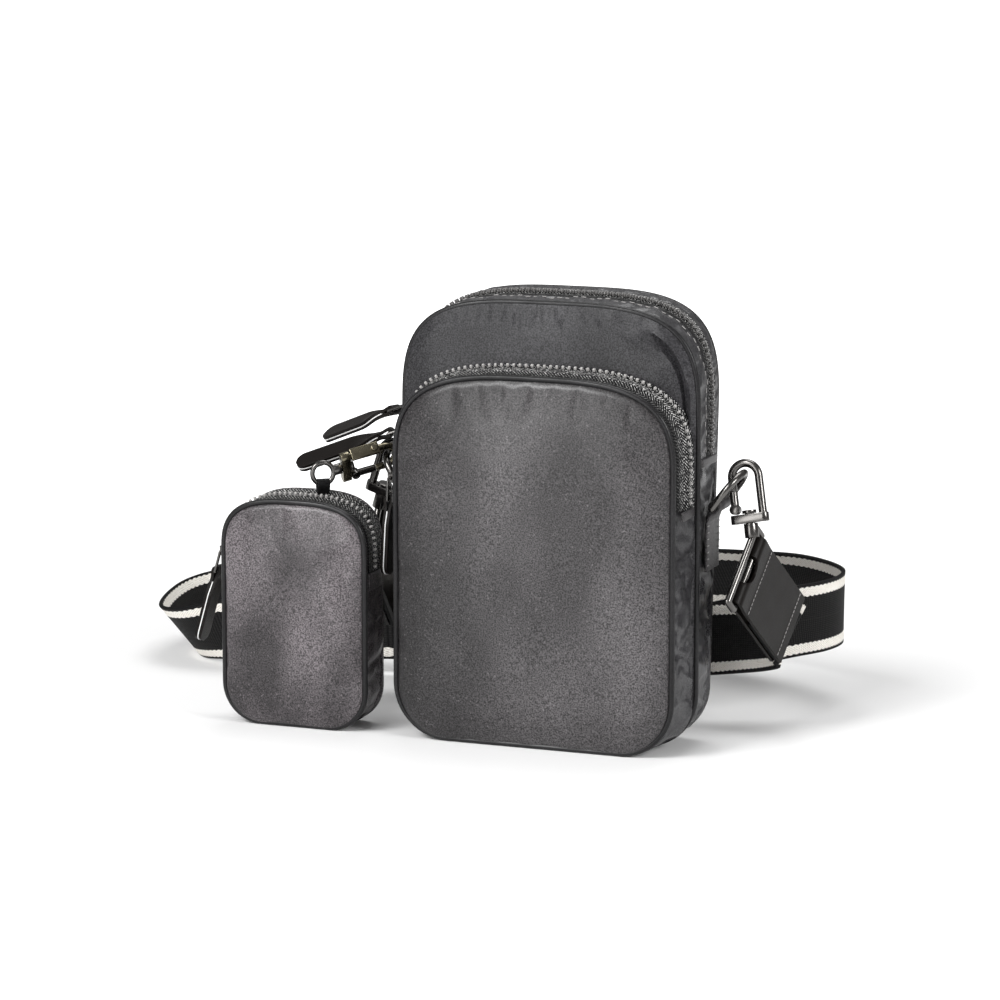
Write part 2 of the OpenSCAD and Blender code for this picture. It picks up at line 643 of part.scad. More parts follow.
// Base ring of a hook: a flat loop that the leather tab of the strap is folded round.
// The swivel sits near the upper end of the loop's first bar.
strap_turn = 49.5;
strap_yaw = [12, 8];
loop_len = 5.8;
loop_hw = strap_tab_w * half + clear + ring_r;
bar_shift = loop_hw - hook_pin_r - rim - ring_r;
function tab_point(i, along, across) = hook_low(i)
    + [sin(strap_turn) * sin(strap_yaw[i]), sin(strap_turn) * cos(strap_yaw[i]), -cos(strap_turn)] * along
    + [cos(strap_turn) * sin(strap_yaw[i]), cos(strap_turn) * cos(strap_yaw[i]), sin(strap_turn)] * across;
module tab_place(i) {
    mirror([i, 0, 0]) translate(tab_point(i, 0, -bar_shift)) rotate([0, 0, -strap_yaw[i]])
        rotate([strap_turn, 0, 0]) children();
}
module base_ring(i) {
    color("#55514f") {
        hook_place(i) swivel(hook_in, hook_inside, hook_block, hook_pin_r, hook_len);
        tab_place(i) {
            for (z = [0, -loop_len]) translate([0, loop_hw, z]) rotate([90, 0, 0])
                cylinder(r = ring_r, h = 2 * loop_hw);
            for (side = [-1, 1]) translate([0, side * loop_hw, 0]) {
                translate([0, 0, -loop_len]) cylinder(r = ring_r, h = loop_len);
                for (z = [0, -loop_len]) translate([0, 0, z]) sphere(r = ring_r);
            }
        }
    }
}
module hook_base_ring_right() { base_ring(0); }
module hook_base_ring_left() { base_ring(1); }

// Leather tab: a fold round the loop's bar and two leaves with the webbing between them
slot_t = web_t + 2 * clear;
module strap_tab(i) {
    bore = ring_r + clear;
    color("#141415") tab_place(i) translate([0, 0, -loop_len]) difference() {
        union() {
            translate([0, strap_tab_w * half, 0]) rotate([90, 0, 0])
                cylinder(r = bore + leather_t, h = strap_tab_w);
            translate([-slot_t * half - leather_t, -strap_tab_w * half, -strap_tab_len])
                cube([slot_t + 2 * leather_t, strap_tab_w, strap_tab_len]);
        }
        translate([0, strap_tab_w, 0]) rotate([90, 0, 0]) cylinder(r = bore, h = 2 * strap_tab_w);
        translate([-slot_t * half, -strap_tab_w, -strap_tab_len - over])
            cube([slot_t, 2 * strap_tab_w, strap_tab_len - bore - leather_t + over]);
    }
}
module strap_tab_right() { strap_tab(0); }
module strap_tab_left() { strap_tab(1); }

// Route of the webbing behind the pouch: across and back as shares of the pouch's width,
// the lower edge's height as a share of the D-rings' height, and the lean in degrees
reach_shares = [0.35, 0.68, 0.92, 1.02];
function in_tab(i, share) = let (p = tab_point(i, loop_len + share * strap_tab_len, -bar_shift))
    [p[0] * (i == 0 ? 1 : -1), p[1], p[2], 0];
route_shares = [
    [0.701, 0.402, 0.264, 23], [0.69, 0.414, 0.275, 38], [0.66, 0.42, 0.272, 40], [0.6, 0.41, 0.255, 34],
    [0.52, 0.384, 0.24, 26], [0.42, 0.36, 0.22, 14], [0.3, 0.335, 0.2, 6],
    [0.16, 0.315, 0.18, 0], [0.05, 0.33, 0.18, 0], [0.02, 0.37, 0.18, 0], [0.08, 0.4, 0.18, 0],
    [0.22, 0.405, 0.18, 0], [0.38, 0.425, 0.19, 0], [0.52, 0.475, 0.23, 0], [0.66, 0.56, 0.262, 0],
    [0.745, 0.64, 0.275, 0], [0.775, 0.74, 0.28, 0], [0.755, 0.84, 0.285, 0], [0.69, 0.93, 0.295, -8],
    [0.58, 1.01, 0.31, -18], [0.43, 1.09, 0.315, -28], [0.26, 1.16, 0.3, -30], [0.06, 1.22, 0.26, -25],
    [-0.18, 1.28, 0.2, -15], [-0.5, 1.33, 0.12, -5], [-0.83, 1.35, 0.05, 0], [-1.17, 1.34, 0.02, 5],
    [-1.46, 1.29, 0.01, 10], [-1.66, 1.18, 0, 16], [-1.725, 1.02, 0, 22], [-1.71, 0.84, 0, 30],
    [-1.66, 0.7, 0, 38], [-1.56, 0.62, 0.01, 34], [-1.4, 0.6, 0.03, 18], [-1.14, 0.63, 0.055, 4],
    [-0.84, 0.68, 0.073, 0], [-0.55, 0.69, 0.09, 0], [-0.33, 0.65, 0.11, 0], [-0.21, 0.6, 0.12, 0],
    [-0.2, 0.54, 0.13, 0], [-0.28, 0.505, 0.15, 0], [-0.41, 0.505, 0.18, 6], [-0.52, 0.495, 0.215, 16],
    [-0.61, 0.485, 0.25, 29], [-0.67, 0.482, 0.278, 40], [-0.701, 0.478, 0.282, 38],
    [-0.712, 0.467, 0.272, 23]];
stops = concat([for (r = reach_shares) in_tab(0, r)],
    [for (p = route_shares) [p[0] * main_w, p[1] * main_w,
        p[2] * ring_bar_z + web_w * half * cos(p[3]), p[3]]],
    [for (k = [len(reach_shares) - 1:-1:0]) in_tab(1, reach_shares[k])]);
bends = 4;
function smooth(a, b, c, d, t) = half * (2 * b + (c - a) * t + (2 * a - 5 * b + 4 * c - d) * t * t
    + (3 * b - a - 3 * c + d) * t * t * t);
last_stop = len(stops) - 1;
line = concat([for (i = [0:last_stop - 1], k = [0:bends - 1])
    smooth(stops[max(i - 1, 0)], stops[i], stops[i + 1], stops[min(i + 2, last_stop)], k / bends)],
    [stops[last_stop]]);
module strap_webbing() {
    n = len(line);
    mid = [for (p = line) [p[0], p[1], p[2]]];
    lean = [for (p = line) p[3]];
    dir = [for (i = [0:n - 1]) let (d = mid[min(i + 1, n - 1)] - mid[max(i - 1, 0)]) d / norm(d)];
    flat = [for (d = dir) [-d[1], d[0], 0] / norm([d[0], d[1]])];
    rise = [for (i = [0:n - 1]) cross(dir[i], flat[i])];
    points = [for (i = [0:n - 1]) let (s = (flat[i] * cos(lean[i]) + rise[i] * sin(lean[i])) * web_t * half,
        u = (rise[i] * cos(lean[i]) - flat[i] * sin(lean[i])) * web_w * half)
        each [mid[i] + s - u, mid[i] - s - u, mid[i] - s + u, mid[i] + s + u]];
    quads = [for (i = [0:n - 2], k = [0:3], f = [
        [4 * i + k, 4 * i + (k + 1) % 4, 4 * (i + 1) + (k + 1) % 4],
        [4 * i + k, 4 * (i + 1) + (k + 1) % 4, 4 * (i + 1) + k]]) f];
    ends = [[0, 3, 2], [0, 2, 1], [4 * n - 4, 4 * n - 3, 4 * n - 2], [4 * n - 4, 4 * n - 2, 4 * n - 1]];
    color("#1b1b1c") polyhedron(points, concat(quads, ends), convexity = 12);
}

// Small clasp that holds the mini pouch to the left D-ring
clasp_len = 28;
clasp_in = 7.2;
clasp_r = 1.5;
clasp_nose = 4;
clasp_block = 3.6;
clasp_pin_r = 1.3;
clasp_turn = 38;
clasp_roll = 210;
clasp_shift = -ring_in / 4;
eye_r_mid = 4.5;
eye_wire_r = 1;
clasp_collar = 3.6;
clasp_inside = clasp_len - eye_r_mid - clasp_collar - clasp_block + bow_z(clasp_in);
loop_foot_z = mini_h + mini_crown;
loop_stand = 3.2;
clasp_rise = ring_place(clasp_shift)[2] - loop_foot_z - loop_stand - eye_r_mid;
clasp_tilt = acos(clasp_rise / clasp_len);
clasp_up = [sin(clasp_tilt) * cos(clasp_turn), sin(clasp_tilt) * sin(clasp_turn), cos(clasp_tilt)];
clasp_top = let (p = ring_place(clasp_shift)) [-p[0], p[1], p[2]];
eye_mid = clasp_top - clasp_len * clasp_up;
module clasp_place() {
    translate(clasp_top) rotate([0, clasp_tilt, clasp_turn]) rotate([0, 0, clasp_roll]) children();
}
module mini_clasp_body() {
    color("#5b5548") clasp_place()
        hook_body(clasp_in, clasp_r, clasp_inside, clasp_nose, clasp_block, clasp_pin_r);
}
module mini_clasp_gate() {
    color("#3b3836") clasp_place() hook_gate(clasp_in, clasp_r, clasp_inside, clasp_nose);
}
module mini_clasp_spring() {
    color("#8a8784") clasp_place() gate_spring(clasp_in, clasp_r, clasp_inside);
}
module mini_clasp_eye() {
    color("#55514f") {
        clasp_place() swivel(clasp_in, clasp_inside, clasp_block, clasp_pin_r, clasp_len - eye_r_mid);
        translate(eye_mid) rotate([90, 0, clasp_turn]) rotate_extrude() translate([eye_r_mid, 0])
            circle(r = eye_wire_r);
    }
}
// Cloth loop on the mini pouch, sewn on behind its zip
loop_w = 4.4;
loop_bore_r = 1.9;
loop_t = 0.9;
module mini_loop_tab() {
    color("#29282a") translate(eye_mid - [0, 0, eye_r_mid]) rotate([0, 0, clasp_turn]) difference() {
        union() {
            translate([-loop_w * half, 0, 0]) rotate([0, 90, 0])
                cylinder(r = loop_bore_r + loop_t, h = loop_w);
            translate([-loop_w * half, -loop_t, -loop_stand]) cube([loop_w, 2 * loop_t, loop_stand]);
        }
        translate([-loop_w, 0, 0]) rotate([0, 90, 0]) cylinder(r = loop_bore_r, h = 2 * loop_w);
    }
}

main_front_panel();
main_piping();
main_back_panel();
main_gusset();
main_zip_gusset_front();
main_zip_gusset_rear();
main_zip_tape();
main_zip_teeth();
main_zip_end_tabs();
main_lining();
inner_divider();
pocket_panel();
pocket_piping();
pocket_gusset();
pocket_zip_tape();
pocket_zip_teeth();
pocket_zip_end_tabs();
pocket_lining();
main_slider_upper();
main_slider_lower();
main_pull_link_upper();
main_pull_link_lower();
main_pull_upper();
main_pull_lower();
pocket_slider();
pocket_pull_link();
pocket_pull();
mini_front_panel();
mini_piping();
mini_back_panel();
mini_gusset();
mini_zip_tape();
mini_zip_teeth();
mini_zip_end_tabs();
mini_lining();
mini_slider();
mini_pull_link();
mini_pull();
d_ring_right();
d_ring_left();
side_tab_right();
side_tab_left();
hook_body_right();
hook_body_left();
hook_gate_right();
hook_gate_left();
hook_gate_spring_right();
hook_gate_spring_left();
hook_base_ring_right();
hook_base_ring_left();
strap_tab_right();
strap_tab_left();
strap_webbing();
mini_clasp_body();
mini_clasp_gate();
mini_clasp_spring();
mini_clasp_eye();
mini_loop_tab();
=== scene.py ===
# %% [markdown]
# # A phone pouch on a striped strap
# The object is a small upright bag of satin nylon. It has an arched main zip, a padded front
# pocket with a zip of its own, a little coin pouch clipped to its side, and a webbing strap that
# lies in loops behind it. The CAD model gives every size and place. This script gives the soft
# pieces their real shapes and every surface its finish.

# %% Load the CAD frame
import math

import bpy
import numpy as np
from mathutils import Matrix, Vector, noise
from mathutils.bvhtree import BVHTree


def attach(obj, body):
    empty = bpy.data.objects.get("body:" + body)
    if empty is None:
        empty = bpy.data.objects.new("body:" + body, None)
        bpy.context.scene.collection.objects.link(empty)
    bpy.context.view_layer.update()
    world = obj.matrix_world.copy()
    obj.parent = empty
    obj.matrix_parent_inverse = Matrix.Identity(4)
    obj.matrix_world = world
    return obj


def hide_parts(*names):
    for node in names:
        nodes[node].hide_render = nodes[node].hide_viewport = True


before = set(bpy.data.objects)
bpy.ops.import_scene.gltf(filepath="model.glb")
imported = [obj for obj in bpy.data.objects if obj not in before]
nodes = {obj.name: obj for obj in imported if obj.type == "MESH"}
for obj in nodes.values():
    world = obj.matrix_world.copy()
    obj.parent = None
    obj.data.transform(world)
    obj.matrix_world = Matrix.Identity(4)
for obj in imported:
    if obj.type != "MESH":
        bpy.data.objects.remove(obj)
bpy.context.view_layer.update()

MM = 0.001

# %% [markdown]
# ## The camera
# A long lens stands about a metre and a half away, turned 20 degrees to the bag's right and looking
# slightly down. The eye is worked out from the middle of the base, and the aim is then moved so that
# the base lands where it should in a picture 1000 dots wide.

# %% Camera
AZIMUTH, ELEVATION = math.radians(20), math.radians(14)
DISTANCE, LENS_DOTS = 1500, 3704
BASE_POINT, BASE_DOT = Vector((5.6, -20, 0)), (545, 750)
PICTURE = 1000
SENSOR = 36

back = Vector((math.sin(AZIMUTH) * math.cos(ELEVATION), -math.cos(AZIMUTH) * math.cos(ELEVATION),
               math.sin(ELEVATION)))
right = Vector((math.cos(AZIMUTH), math.sin(AZIMUTH), 0))
eye = BASE_POINT + back * DISTANCE
aim = (-back + right * (PICTURE / 2 - BASE_DOT[0]) / LENS_DOTS
       + back.cross(right) * (BASE_DOT[1] - PICTURE / 2) / LENS_DOTS)
bpy.ops.object.camera_add(location=eye * MM, rotation=aim.to_track_quat("-Z", "Y").to_euler())
camera = bpy.context.object
camera.name = "camera"
camera.data.sensor_width = SENSOR
camera.data.lens = LENS_DOTS / PICTURE * SENSOR
camera.data.clip_end = 20
bpy.context.scene.camera = camera
print("camera at", [round(c) for c in eye], "mm, lens", round(camera.data.lens), "mm")

# %% [markdown]
# ## Small tools for the bench
# Blender's operators work on what is selected. These helpers select one piece, run steps on its mesh
# and hand its points over as a table, so that each step below stays short.

# %% Choosing and editing a piece
def fresh():
    """Leaves object mode with nothing selected."""
    if bpy.context.object and bpy.context.object.mode != "OBJECT":
        bpy.ops.object.mode_set(mode="OBJECT")
    bpy.ops.object.select_all(action="DESELECT")


def choose(piece):
    fresh()
    piece.select_set(True)
    bpy.context.view_layer.objects.active = piece
    return piece


def edit(piece, *steps):
    """Runs edit-mode operators on the whole of a piece."""
    choose(piece)
    bpy.ops.object.mode_set(mode="EDIT")
    bpy.ops.mesh.select_all(action="SELECT")
    for step in steps:
        step()
    bpy.ops.object.mode_set(mode="OBJECT")
    return piece


def points_of(piece):
    co = np.empty(len(piece.data.vertices) * 3)
    piece.data.vertices.foreach_get("co", co)
    return co.reshape(-1, 3)


def place_points(piece, co):
    piece.data.vertices.foreach_set("co", np.asarray(co, float).ravel())
    piece.data.update()


def weld():
    bpy.ops.mesh.remove_doubles(threshold=0.02 * MM)


# %% [markdown]
# Most cloth pieces here are a grid that is laid over a shape. A table of points, row by row and
# column by column, says where each crossing of the grid goes. The grid keeps its flat picture of
# itself, the UV map, so that weaves can follow the cloth.

# %% Laying a grid over a table of points
def lay(name, table, outside=None):
    """Adds a grid and moves its crossings to the table's points, in millimetres. outside is a point
    inside the object, or a direction, that the faces look away from or along."""
    rows, columns = table.shape[0] - 1, table.shape[1] - 1
    fresh()
    bpy.ops.mesh.primitive_grid_add(x_subdivisions=columns, y_subdivisions=rows, size=1)
    piece = bpy.context.object
    piece.name = piece.data.name = name
    flat = points_of(piece)
    i = np.rint((flat[:, 0] + 0.5) * columns).astype(int)
    j = np.rint((flat[:, 1] + 0.5) * rows).astype(int)
    place_points(piece, table[j, i] * MM)
    if outside is not None:
        look = 0
        for face in piece.data.polygons:
            away = Vector(outside[1]) if outside[0] == "along" else face.center / MM - Vector(outside[1])
            look += face.normal.dot(away) * face.area
        if look < 0:
            edit(piece, bpy.ops.mesh.flip_normals)
    edit(piece, weld)
    return piece


# %% [markdown]
# A laid grid is still a thin sheet. Modifiers give it thickness and rounded edges. Each is applied at
# once, so that the piece which is handed over is a plain mesh.

# %% Thickness, rounded edges and shading
def add_modifier(piece, kind, **settings):
    choose(piece)
    modifier = piece.modifiers.new(kind.lower(), kind)
    for key, value in settings.items():
        setattr(modifier, key, value)
    bpy.ops.object.modifier_apply(modifier=modifier.name)
    return piece


def smooth(piece, degrees=40):
    choose(piece)
    bpy.ops.object.shade_smooth_by_angle(angle=math.radians(degrees))
    return piece


def thicken(piece, thickness, offset=-1):
    """Gives a sheet its thickness: inwards, or half to each side with offset 0."""
    return add_modifier(piece, "SOLIDIFY", thickness=thickness * MM, offset=offset)


def round_edges(piece, width, segments=2, degrees=50):
    """Rounds every edge that is sharper than the given angle."""
    return add_modifier(piece, "BEVEL", width=width * MM, segments=segments, limit_method="ANGLE",
                        angle_limit=math.radians(degrees))


def face_out(piece):
    return edit(piece, lambda: bpy.ops.mesh.normals_make_consistent(inside=False))


# %% [markdown]
# A finished piece gets its material, and is tied to the CAD body that it moves with and to the CAD
# pieces that it stands for. Those pieces are then hidden, so nothing is seen twice.

# %% Handing a piece over
def hand_over(piece, finish, body, slot, *stands_for):
    """Gives a piece its finish and ties it to the CAD body and nodes that it stands for."""
    piece.data.materials.clear()
    piece.data.materials.append(finish)
    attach(piece, body)
    if stands_for:
        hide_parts(*stands_for)
    print(f"{piece.name}: {len(piece.data.polygons)} faces on {body}")
    return piece


# %% [markdown]
# Every panel of the bag has the same kind of outline: straight sides, round bottom corners and a
# top that is a squashed ellipse. These are the same curves as in the CAD source, in millimetres.

# %% Outlines
def evenly(points, count):
    """The same line with count equal steps."""
    points = np.asarray(points, float)
    gone = np.concatenate([[0], np.cumsum(np.linalg.norm(np.diff(points, axis=0), axis=1))])
    at = np.linspace(0, gone[-1], count + 1)
    return np.stack([np.interp(at, gone, points[:, k]) for k in range(points.shape[1])], 1)


def top_curve(half_w, start_z, height, power):
    a = np.linspace(0, np.pi, 241)
    return np.stack([half_w * np.sign(np.cos(a)) * np.abs(np.cos(a)) ** (2 / power),
                     start_z + (height - start_z) * np.abs(np.sin(a)) ** (2 / power)], 1)


def low_curve(half_w, base, radius):
    a = np.radians(np.linspace(180, 270, 25))
    left = np.stack([radius - half_w + radius * np.cos(a), base + radius + radius * np.sin(a)], 1)
    right_side = left[::-1] * [-1, 1]
    return np.concatenate([left, right_side])


def over(half_w, low, start_z, height, power, count):
    """From the right side over the top to the left side."""
    return evenly(np.concatenate([[[half_w, low]], top_curve(half_w, start_z, height, power),
                                  [[-half_w, low]]]), count)


def under(half_w, high, base, radius, count):
    """From the left side under the base to the right side."""
    return evenly(np.concatenate([[[-half_w, high]], low_curve(half_w, base, radius),
                                  [[half_w, high]]]), count)


def around(half_w, base, radius, start_z, height, power, count):
    """Once round, from the right side over the top, evenly spaced, with the first point last too."""
    ring = np.concatenate([top_curve(half_w, start_z, height, power), low_curve(half_w, base, radius)])
    return evenly(np.concatenate([ring, ring[:1]]), count)


# %% [markdown]
# Cloth is never quite flat. A slow, smooth noise gives soft dents and folds. The noise is the same
# each time, because it depends on the place and on a number chosen for each piece.

# %% Dents and folds
def rumple(x, y, seed, size):
    """Smooth noise between about -1 and 1 whose lumps are about size across."""
    flat_x, flat_y = np.broadcast_arrays(np.asarray(x, float) / size, np.asarray(y, float) / size)
    values = [noise.noise(Vector((a, b, seed * 7.3))) for a, b in zip(flat_x.ravel(), flat_y.ravel())]
    return np.array(values).reshape(flat_x.shape)


def outward(table):
    """The direction square to the cloth at each point of a table."""
    across, along = np.gradient(table, axis=0), np.gradient(table, axis=1)
    n = np.cross(along, across)
    return n / np.maximum(np.linalg.norm(n, axis=2, keepdims=True), 1e-9)


def fade(t, low, high):
    t = np.clip((t - low) / (high - low), 0, 1)
    return t * t * (3 - 2 * t)


# %% [markdown]
# The sizes below are those of the CAD source, in millimetres, so the cloth lies where its plain solid
# does. They could be measured on the CAD pieces, but the numbers are easier to follow. The back of
# the pouch leans: it is deeper at the top than at the base.

# %% Sizes that the CAD source gives
MAIN = dict(half_w=62.5, height=178.5, crown=4, end_z=118, start_z=130, corner=22, power=3.6)
DEPTH_LOW, DEPTH_TOP, BACK_T = 20, 33, 2.4
FRONT_Y, BAND_Y = -0.8, 2.4
POCKET = dict(x_mid=0, half_w=58.5, back_half_w=62, height=150.5, back_height=154.5, end_z=100,
              start_z=112, corner=22, power=3.2, seam=-20, band=-16.8, end=-0.8, pad=4.5)
MINI_X, MINI_BACK = -104.5, 2
MINI = dict(x_mid=MINI_X, half_w=31, back_half_w=31, height=94, back_height=97, end_z=66,
            start_z=72, corner=16, power=3, seam=-20, band=-16.8, end=0.4, pad=3)
CLOTH_T = 1.4
FULL_H = MAIN["height"] + MAIN["crown"]


def rear(z):
    return DEPTH_LOW + (DEPTH_TOP - DEPTH_LOW) * z / FULL_H


def deep(share, z):
    return BAND_Y + share * (rear(z) - BACK_T - BAND_Y)


print("depth at the base and the top", rear(0), "and", rear(FULL_H), "mm")


# %% [markdown]
# ## Finishes
# Every surface gets a material that is made of sums and noise, with no pictures. These helpers add
# one node each to a material, so that a finish can be written like a short recipe.

# %% Node helpers
def new_finish(name, colour, rough, **sockets):
    finish = bpy.data.materials.new(name)
    finish.use_nodes = True
    shader = finish.node_tree.nodes["Principled BSDF"]
    shader.inputs["Base Color"].default_value = (*colour, 1)
    shader.inputs["Roughness"].default_value = rough
    for key, value in sockets.items():
        shader.inputs[key.replace("_", " ")].default_value = value
    return finish, shader


def node(finish, kind, inputs=None, **settings):
    made = finish.node_tree.nodes.new(kind)
    for key, value in settings.items():
        setattr(made, key, value)
    for key, value in (inputs or {}).items():
        if isinstance(value, bpy.types.NodeSocket):
            finish.node_tree.links.new(value, made.inputs[key])
        else:
            made.inputs[key].default_value = value
    return made


def sums(finish, operation, a, b=0.0, c=0.0):
    """One step of arithmetic on numbers that vary over the surface."""
    return node(finish, "ShaderNodeMath", {0: a, 1: b, 2: c}, operation=operation).outputs[0]


def object_place(finish):
    return node(finish, "ShaderNodeTexCoord").outputs["Object"]


def grain(finish, size_mm, detail=2.0, rough=0.5, place=None):
    """Noise whose lumps are about size_mm across, from 0 to 1."""
    return node(finish, "ShaderNodeTexNoise", {"Vector": place or object_place(finish),
                "Scale": 1 / (size_mm * MM), "Detail": detail, "Roughness": rough}).outputs["Fac"]


def between(finish, factor, colour_a, colour_b, low=0.0, high=1.0):
    ramp = node(finish, "ShaderNodeMapRange", {"Value": factor, "From Min": low, "From Max": high})
    mix = node(finish, "ShaderNodeMix", {0: ramp.outputs[0]}, data_type="RGBA")
    for socket, value in ((6, colour_a), (7, colour_b)):
        if isinstance(value, bpy.types.NodeSocket):
            finish.node_tree.links.new(value, mix.inputs[socket])
        else:
            mix.inputs[socket].default_value = (*value, 1)
    return mix.outputs[2]


def emboss(finish, shader, height, depth_mm, strength):
    """Turns a height that varies over the surface into light and shade."""
    bump = node(finish, "ShaderNodeBump", {"Height": height, "Strength": strength,
                "Distance": depth_mm * MM}).outputs[0]
    finish.node_tree.links.new(bump, shader.inputs["Normal"])


def wire(finish, output, socket):
    finish.node_tree.links.new(output, socket)


def ribs(finish, place, pitch_mm):
    """Round ribs side by side, one for each pitch, from 0 in the groove to 1 on the rib."""
    wave = sums(finish, "SINE", sums(finish, "MULTIPLY", place, math.pi / pitch_mm))
    return sums(finish, "ABSOLUTE", wave)


def sides_only(finish):
    """The place on the surface without its depth, so that the painted highlight reaches through the cloth.
    """
    return node(finish, "ShaderNodeVectorMath", {0: object_place(finish), 1: (1, 0, 1)},
                operation="MULTIPLY").outputs[0]


# %% [markdown]
# The nylon is a satin weave: dark, finely grained, with a soft shine where it turns to the light. Its
# threads are finer than a dot of the picture, so a fine noise does for the grain. A slow slanting noise
# paints folds of light into the colour as painted sheen. The front pocket also has one broad painted
# highlight in its middle.

# %% Satin nylon
SLANT = 24


def satin_nylon(name, colour, rough=0.42, band_mm=44, contrast=1.0, speckle=1.0, gloss=0.3, painted_highlight=None):
    """Speckled grain, and slow slanting bands of painted sheen in the colour, where the satin turns to the
    light. The last argument paints a highlight: the middle of a broad lighter patch (across and up, in mm),
    the reach of it and the brightness beyond."""
    finish, shader = new_finish(name, colour, rough, Sheen_Weight=0.06, Sheen_Roughness=0.3,
                                Specular_IOR_Level=gloss)
    slanted = node(finish, "ShaderNodeMapping", {"Vector": object_place(finish), "Scale": (1.0, 0.6, 0.5),
                   "Rotation": (0, math.radians(-SLANT), 0)}).outputs[0]
    bands = grain(finish, band_mm, 1.5, 0.4, slanted)
    fine = grain(finish, 0.6, 1.0)
    spark = sums(finish, "GREATER_THAN", grain(finish, 0.9, 0.0), 0.76)
    # Painted sheen: the slow slanting bands make the colour lighter and darker, as light on folds would.
    slow = node(finish, "ShaderNodeMapRange", {"Value": bands, "From Min": 0.36, "From Max": 0.64,
                "To Min": 1 - 0.45 * contrast, "To Max": 1 + 0.5 * contrast}).outputs[0]
    # Painted highlight: a broad lighter patch in the colour, brightest at its middle.
    if painted_highlight:
        x, z, near, far, low = painted_highlight
        away = node(finish, "ShaderNodeVectorMath", {0: sides_only(finish), 1: (x * MM, 0, z * MM)},
                    operation="DISTANCE").outputs["Value"]
        painted_highlight_level = node(finish, "ShaderNodeMapRange", {"Value": away, "From Min": near * MM,
                           "From Max": far * MM, "To Min": 1.15, "To Max": low},
                           interpolation_type="SMOOTHSTEP").outputs[0]
        slow = sums(finish, "MULTIPLY", slow, painted_highlight_level)
    quick = node(finish, "ShaderNodeMapRange", {"Value": fine, "From Min": 0.34, "From Max": 0.66,
                 "To Min": 1 - 0.6 * speckle, "To Max": 1 + 0.8 * speckle}).outputs[0]
    bright = sums(finish, "MULTIPLY_ADD", spark, 0.9 * speckle, sums(finish, "MULTIPLY", slow, quick))
    wire(finish, between(finish, bright, (0, 0, 0), tuple(4 * c for c in colour), 0, 4),
         shader.inputs["Base Color"])
    wire(finish, between(finish, bands, (rough + 0.08,) * 3, (rough - 0.06,) * 3, 0.36, 0.64),
         shader.inputs["Roughness"])
    emboss(finish, shader, sums(finish, "MULTIPLY_ADD", bands, 0.6, fine), 0.06, 0.5)
    return finish


# %% [markdown]
# The cloths differ in darkness: the loop and the rolled edges are the darkest, the pocket is lighter, and
# the little pouch is warm and lightest. The upper front, the gussets and the rolled edges are darker copies
# of the pocket's satin, which is painted shade. On the rolled edges it stands for the shade along the
# seams. One function with a few numbers makes them all, so that they look like one family.

# %% The cloths
# The pocket's satin carries the painted highlight in its middle.
NYLON = satin_nylon("satin nylon", (0.05, 0.0468, 0.0484), 0.36, band_mm=40, contrast=0.9, speckle=1.1,
                    gloss=0.34, painted_highlight=(18, 66, 24, 96, 0.4))
# Painted shade: the upper front is a darker copy of the pocket's satin.
FRONT_NYLON = satin_nylon("upper front nylon", (0.0205, 0.0199, 0.0216), 0.38, band_mm=46, gloss=0.28)
# Painted shade: the gussets are a darker copy of the same satin.
GUSSET_NYLON = satin_nylon("gusset nylon", (0.024, 0.0233, 0.0251), 0.32, band_mm=15, contrast=0.5,
                           speckle=0.8, gloss=0.5)
MINI_NYLON = satin_nylon("warm satin nylon", (0.068, 0.0605, 0.0641), 0.34, band_mm=26, contrast=1.3,
                         speckle=1.1, gloss=0.36)
# Painted shade: the rolled edges are a darker copy of the same satin, for the shade along the seams.
EDGE_CLOTH = satin_nylon("rolled edge nylon", (0.009, 0.0087, 0.0093), 0.34, band_mm=16, contrast=0.7,
                         speckle=0.6, gloss=0.28)
DARK_CLOTH = satin_nylon("dark loop nylon", (0.006, 0.0058, 0.0062), 0.45, band_mm=16, contrast=0.7,
                         speckle=0.6, gloss=0.12)
LINING = satin_nylon("lining cloth", (0.03, 0.03, 0.032), 0.6)
print("cloths:", ", ".join(cloth.name for cloth in (NYLON, FRONT_NYLON, GUSSET_NYLON, MINI_NYLON,
                                                    EDGE_CLOTH, DARK_CLOTH, LINING)))


# %% [markdown]
# The zip's tape is woven in herringbone: short slanting ribs that turn back at each column. It needs the
# tape's own UV map, which runs along and across the tape. Woven threads would be far too many here, and a
# bump follows every bend of the zip. Across the tape the colour goes from near black by its front seam,
# which is painted shade, to lighter towards its outer side.

